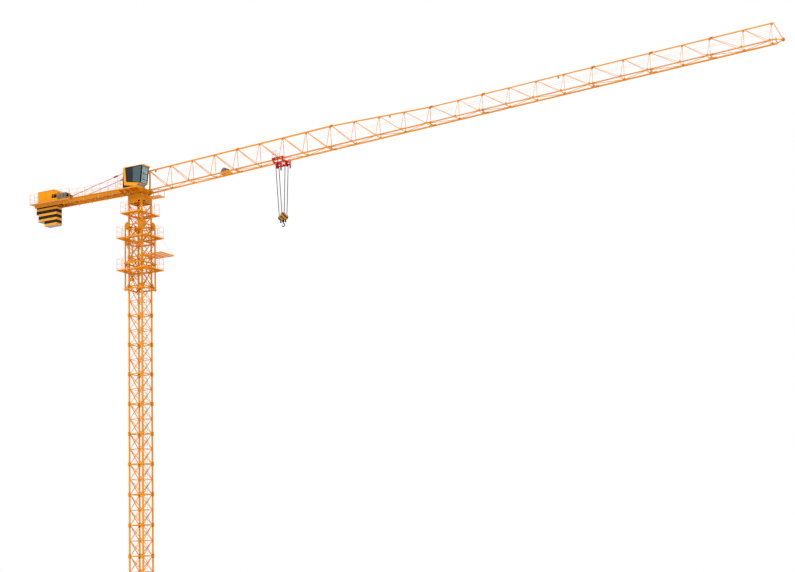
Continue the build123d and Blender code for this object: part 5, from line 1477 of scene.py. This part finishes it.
# Hoist ropes, hook block and hook
rope_radius, top_rim, foot_rim, block_half = 0.0034, 0.0176, 0.0160, 0.027
sheave_mid = on_jib(trolley_along, 0, sheave_up)[0]
block_mid = sheave_mid - (0, 0, block_drop)
fall_tops = sheave_mid + spots(each_side * sheave_half + both * top_rim, 0, 0)
fall_feet = block_mid + spots(each_side * block_half + both * foot_rim, 0, 0)
falls = piece("hoist_rope_falls", None, "wire_rope", rope,
              carry(round_profile(rope_radius, 10), fall_tops, fall_feet, y_way), stands_for=("hoist_ropes",))
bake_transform(falls)
wrap_turn = np.linspace(0, pi, 17)
over_wrap = top_rim * spots(np.cos(wrap_turn), 0, np.sin(wrap_turn))
under_wrap = foot_rim * spots(np.cos(wrap_turn), 0, -np.sin(wrap_turn))
piece("rope_over_trolley_sheaves", "trolley", "wire_rope", rope,
      *[swept(sheave_mid + end * sheave_half * x_way + over_wrap, rope_radius, y_way, 8) for end in both])
piece("rope_under_block_sheaves", "hook_block", "wire_rope", rope,
      *[swept(block_mid + end * block_half * x_way + under_wrap, rope_radius, y_way, 8) for end in both])

cheek = rounded(
    [(-0.053, -0.012), (-0.040, -0.033), (-0.012, -0.030), (0.012, -0.030), (0.040, -0.033), (0.053, -0.012),
     (0.051, 0.012), (0.027, 0.009), (0.021, 0.046), (-0.021, 0.046), (-0.027, 0.009), (-0.051, 0.012)], 2
)
piece("hook_block_cheeks", "hook_block", "crane_paint", block_stripes,
      plates(cheek, block_mid + spots(0, both * 0.0070, 0), x_way, z_way, 0.004),
      box_between(block_mid + (-0.028, -0.005, -0.030), block_mid + (0.028, 0.005, -0.0185)),
      stands_for=("hook_block",))
block_sheaves = block_mid + spots(both * block_half, 0, 0)
swivel = [(0.004, -0.0180), (0.0095, -0.0180), (0.0110, -0.0120), (0.0110, 0.002), (0.004, 0.002)]
stub = [(0.002, -0.0260), (0.0072, -0.0245), (0.0084, -0.0130), (0.0060, -0.0060), (0.0060, 0.004),
        (0.002, 0.004)]
piece(
    "hook_block_fittings", "hook_block", "dark_steel", black,
    turned(grooved(0.0155, 0.008), block_sheaves, y_way, 26),
    pins(0.0048, 0.0102, block_sheaves, y_way),
    turned(swivel, block_mid - 0.032 * z_way, z_way, 18),
    turned(stub, block_sheaves - 0.031 * z_way, z_way, 14),
)
hook_top = block_mid - 0.0505 * z_way
hook_centre = hook_top - 0.029 * z_way
hook_turn = np.linspace(pi / 2, -pi * 0.98, 40)
hook_arc = hook_centre + 0.015 * spots(np.cos(hook_turn), 0, np.sin(hook_turn))
shank = hook_top - spots(0, 0, np.linspace(0, 0.0125, 6))
hook_path = np.concatenate([shank, hook_arc[2:]])
arc_shares = np.linspace(0, 1, len(hook_arc) - 2)
arc_radii = np.interp(arc_shares, [0, 0.3, 0.55, 0.85, 1], [0.0038, 0.0042, 0.0050, 0.0036, 0.0016])
hook_nut = [(0.003, -0.0060), (0.0064, -0.0060), (0.0064, -0.0010), (0.0050, -0.0004), (0.003, -0.0004)]
piece(
    "swivel_hook", "hook", "dark_steel", black,
    swept(hook_path, np.append(np.full(len(shank), 0.0040), arc_radii), y_way, 14),
    turned(hook_nut, hook_top, z_way, 6),
    carry(box_profile(0.0030, 0.0012, 0.0002), hook_centre + (-0.0010, 0, 0.0115),
          hook_centre + (-0.0140, 0, 0.0020)),
    stands_for=("hook",),
)

# Finishes for the CAD nodes that show as they are: the darker frame yellow paints shade on the base frame,
# seat and turntable, and the lighter cab yellow paints light on the cab roof
dress(shade_painted_yellow, "base_frame", "slewing_seat", "turntable")
dress(yellow, "head_frames", "head_beams", "machinery_house")
dress(light_painted_cab_yellow, "cab_roof")

# Floor, world, lamps and camera
floor_half, floor_level = 90, -0.001
floor_mesh = bpy.data.meshes.new("studio_floor")
floor_mesh.from_pydata(uprights(floor_half, floor_level, 0)[0].tolist(), [], [(0, 1, 2, 3)])
floor = bpy.data.objects.new("studio_floor", floor_mesh)
bpy.context.scene.collection.objects.link(floor)
floor_look = Nodes("pale_studio_floor")
floor_mesh.materials.append(
    floor_look.finish(
        floor_look.mixed(floor_look.noise(0.6), srgb(244, 244, 244), srgb(250, 250, 250)),
        floor_look.spread(floor_look.noise(3.0), 0.8, 0.9),
    )
)

# The world is full white where it is seen, straight or in glass and gloss, and dimmer as a light
world = bpy.data.worlds.new("studio")
bpy.context.scene.world = world
world.use_nodes = True
tree = world.node_tree
light_path = tree.nodes.new("ShaderNodeLightPath")
seen = light_path.outputs["Is Camera Ray"]
for ray in ("Is Glossy Ray", "Is Transmission Ray"):
    either = tree.nodes.new("ShaderNodeMath")
    either.operation = "MAXIMUM"
    tree.links.new(seen, either.inputs[0])
    tree.links.new(light_path.outputs[ray], either.inputs[1])
    seen = either.outputs[0]
strength = tree.nodes.new("ShaderNodeMapRange")
strength.inputs["To Min"].default_value = 0.62
strength.inputs["To Max"].default_value = 1.0
tree.links.new(seen, strength.inputs["Value"])
background = tree.nodes["Background"]
background.inputs["Color"].default_value = (1.0, 1.0, 1.0, 1.0)
tree.links.new(strength.outputs["Result"], background.inputs["Strength"])

sun_spread = radians(25)
for lamp_name, energy, heading, height in (("key_sun", 1.6, -20, 48), ("side_sun", 0.45, 75, 30)):
    lamp = bpy.data.lights.new(lamp_name, "SUN")
    lamp.energy = energy
    lamp.angle = sun_spread
    lamp_object = bpy.data.objects.new(lamp_name, lamp)
    lamp_object.rotation_euler = (radians(90 - height), 0, radians(heading))
    bpy.context.scene.collection.objects.link(lamp_object)

camera_place = (9.2551, -12.3734, 0.1367)
camera_heading = 0.4724
camera_pitch = 0.1988
camera_roll = -0.0377
camera = bpy.data.cameras.new("photo_camera")
camera.lens = 69.32
camera.sensor_width = 36.0
camera.clip_end = 200.0
camera_object = bpy.data.objects.new("photo_camera", camera)
camera_object.matrix_world = (
    Matrix.Translation(camera_place)
    @ Matrix.Rotation(camera_heading, 4, "Z")
    @ Matrix.Rotation(pi / 2 + camera_pitch, 4, "X")
    @ Matrix.Rotation(camera_roll, 4, "Z")
)
bpy.context.scene.collection.objects.link(camera_object)
bpy.context.scene.camera = camera_object
bpy.context.scene.view_settings.view_transform = "Standard"
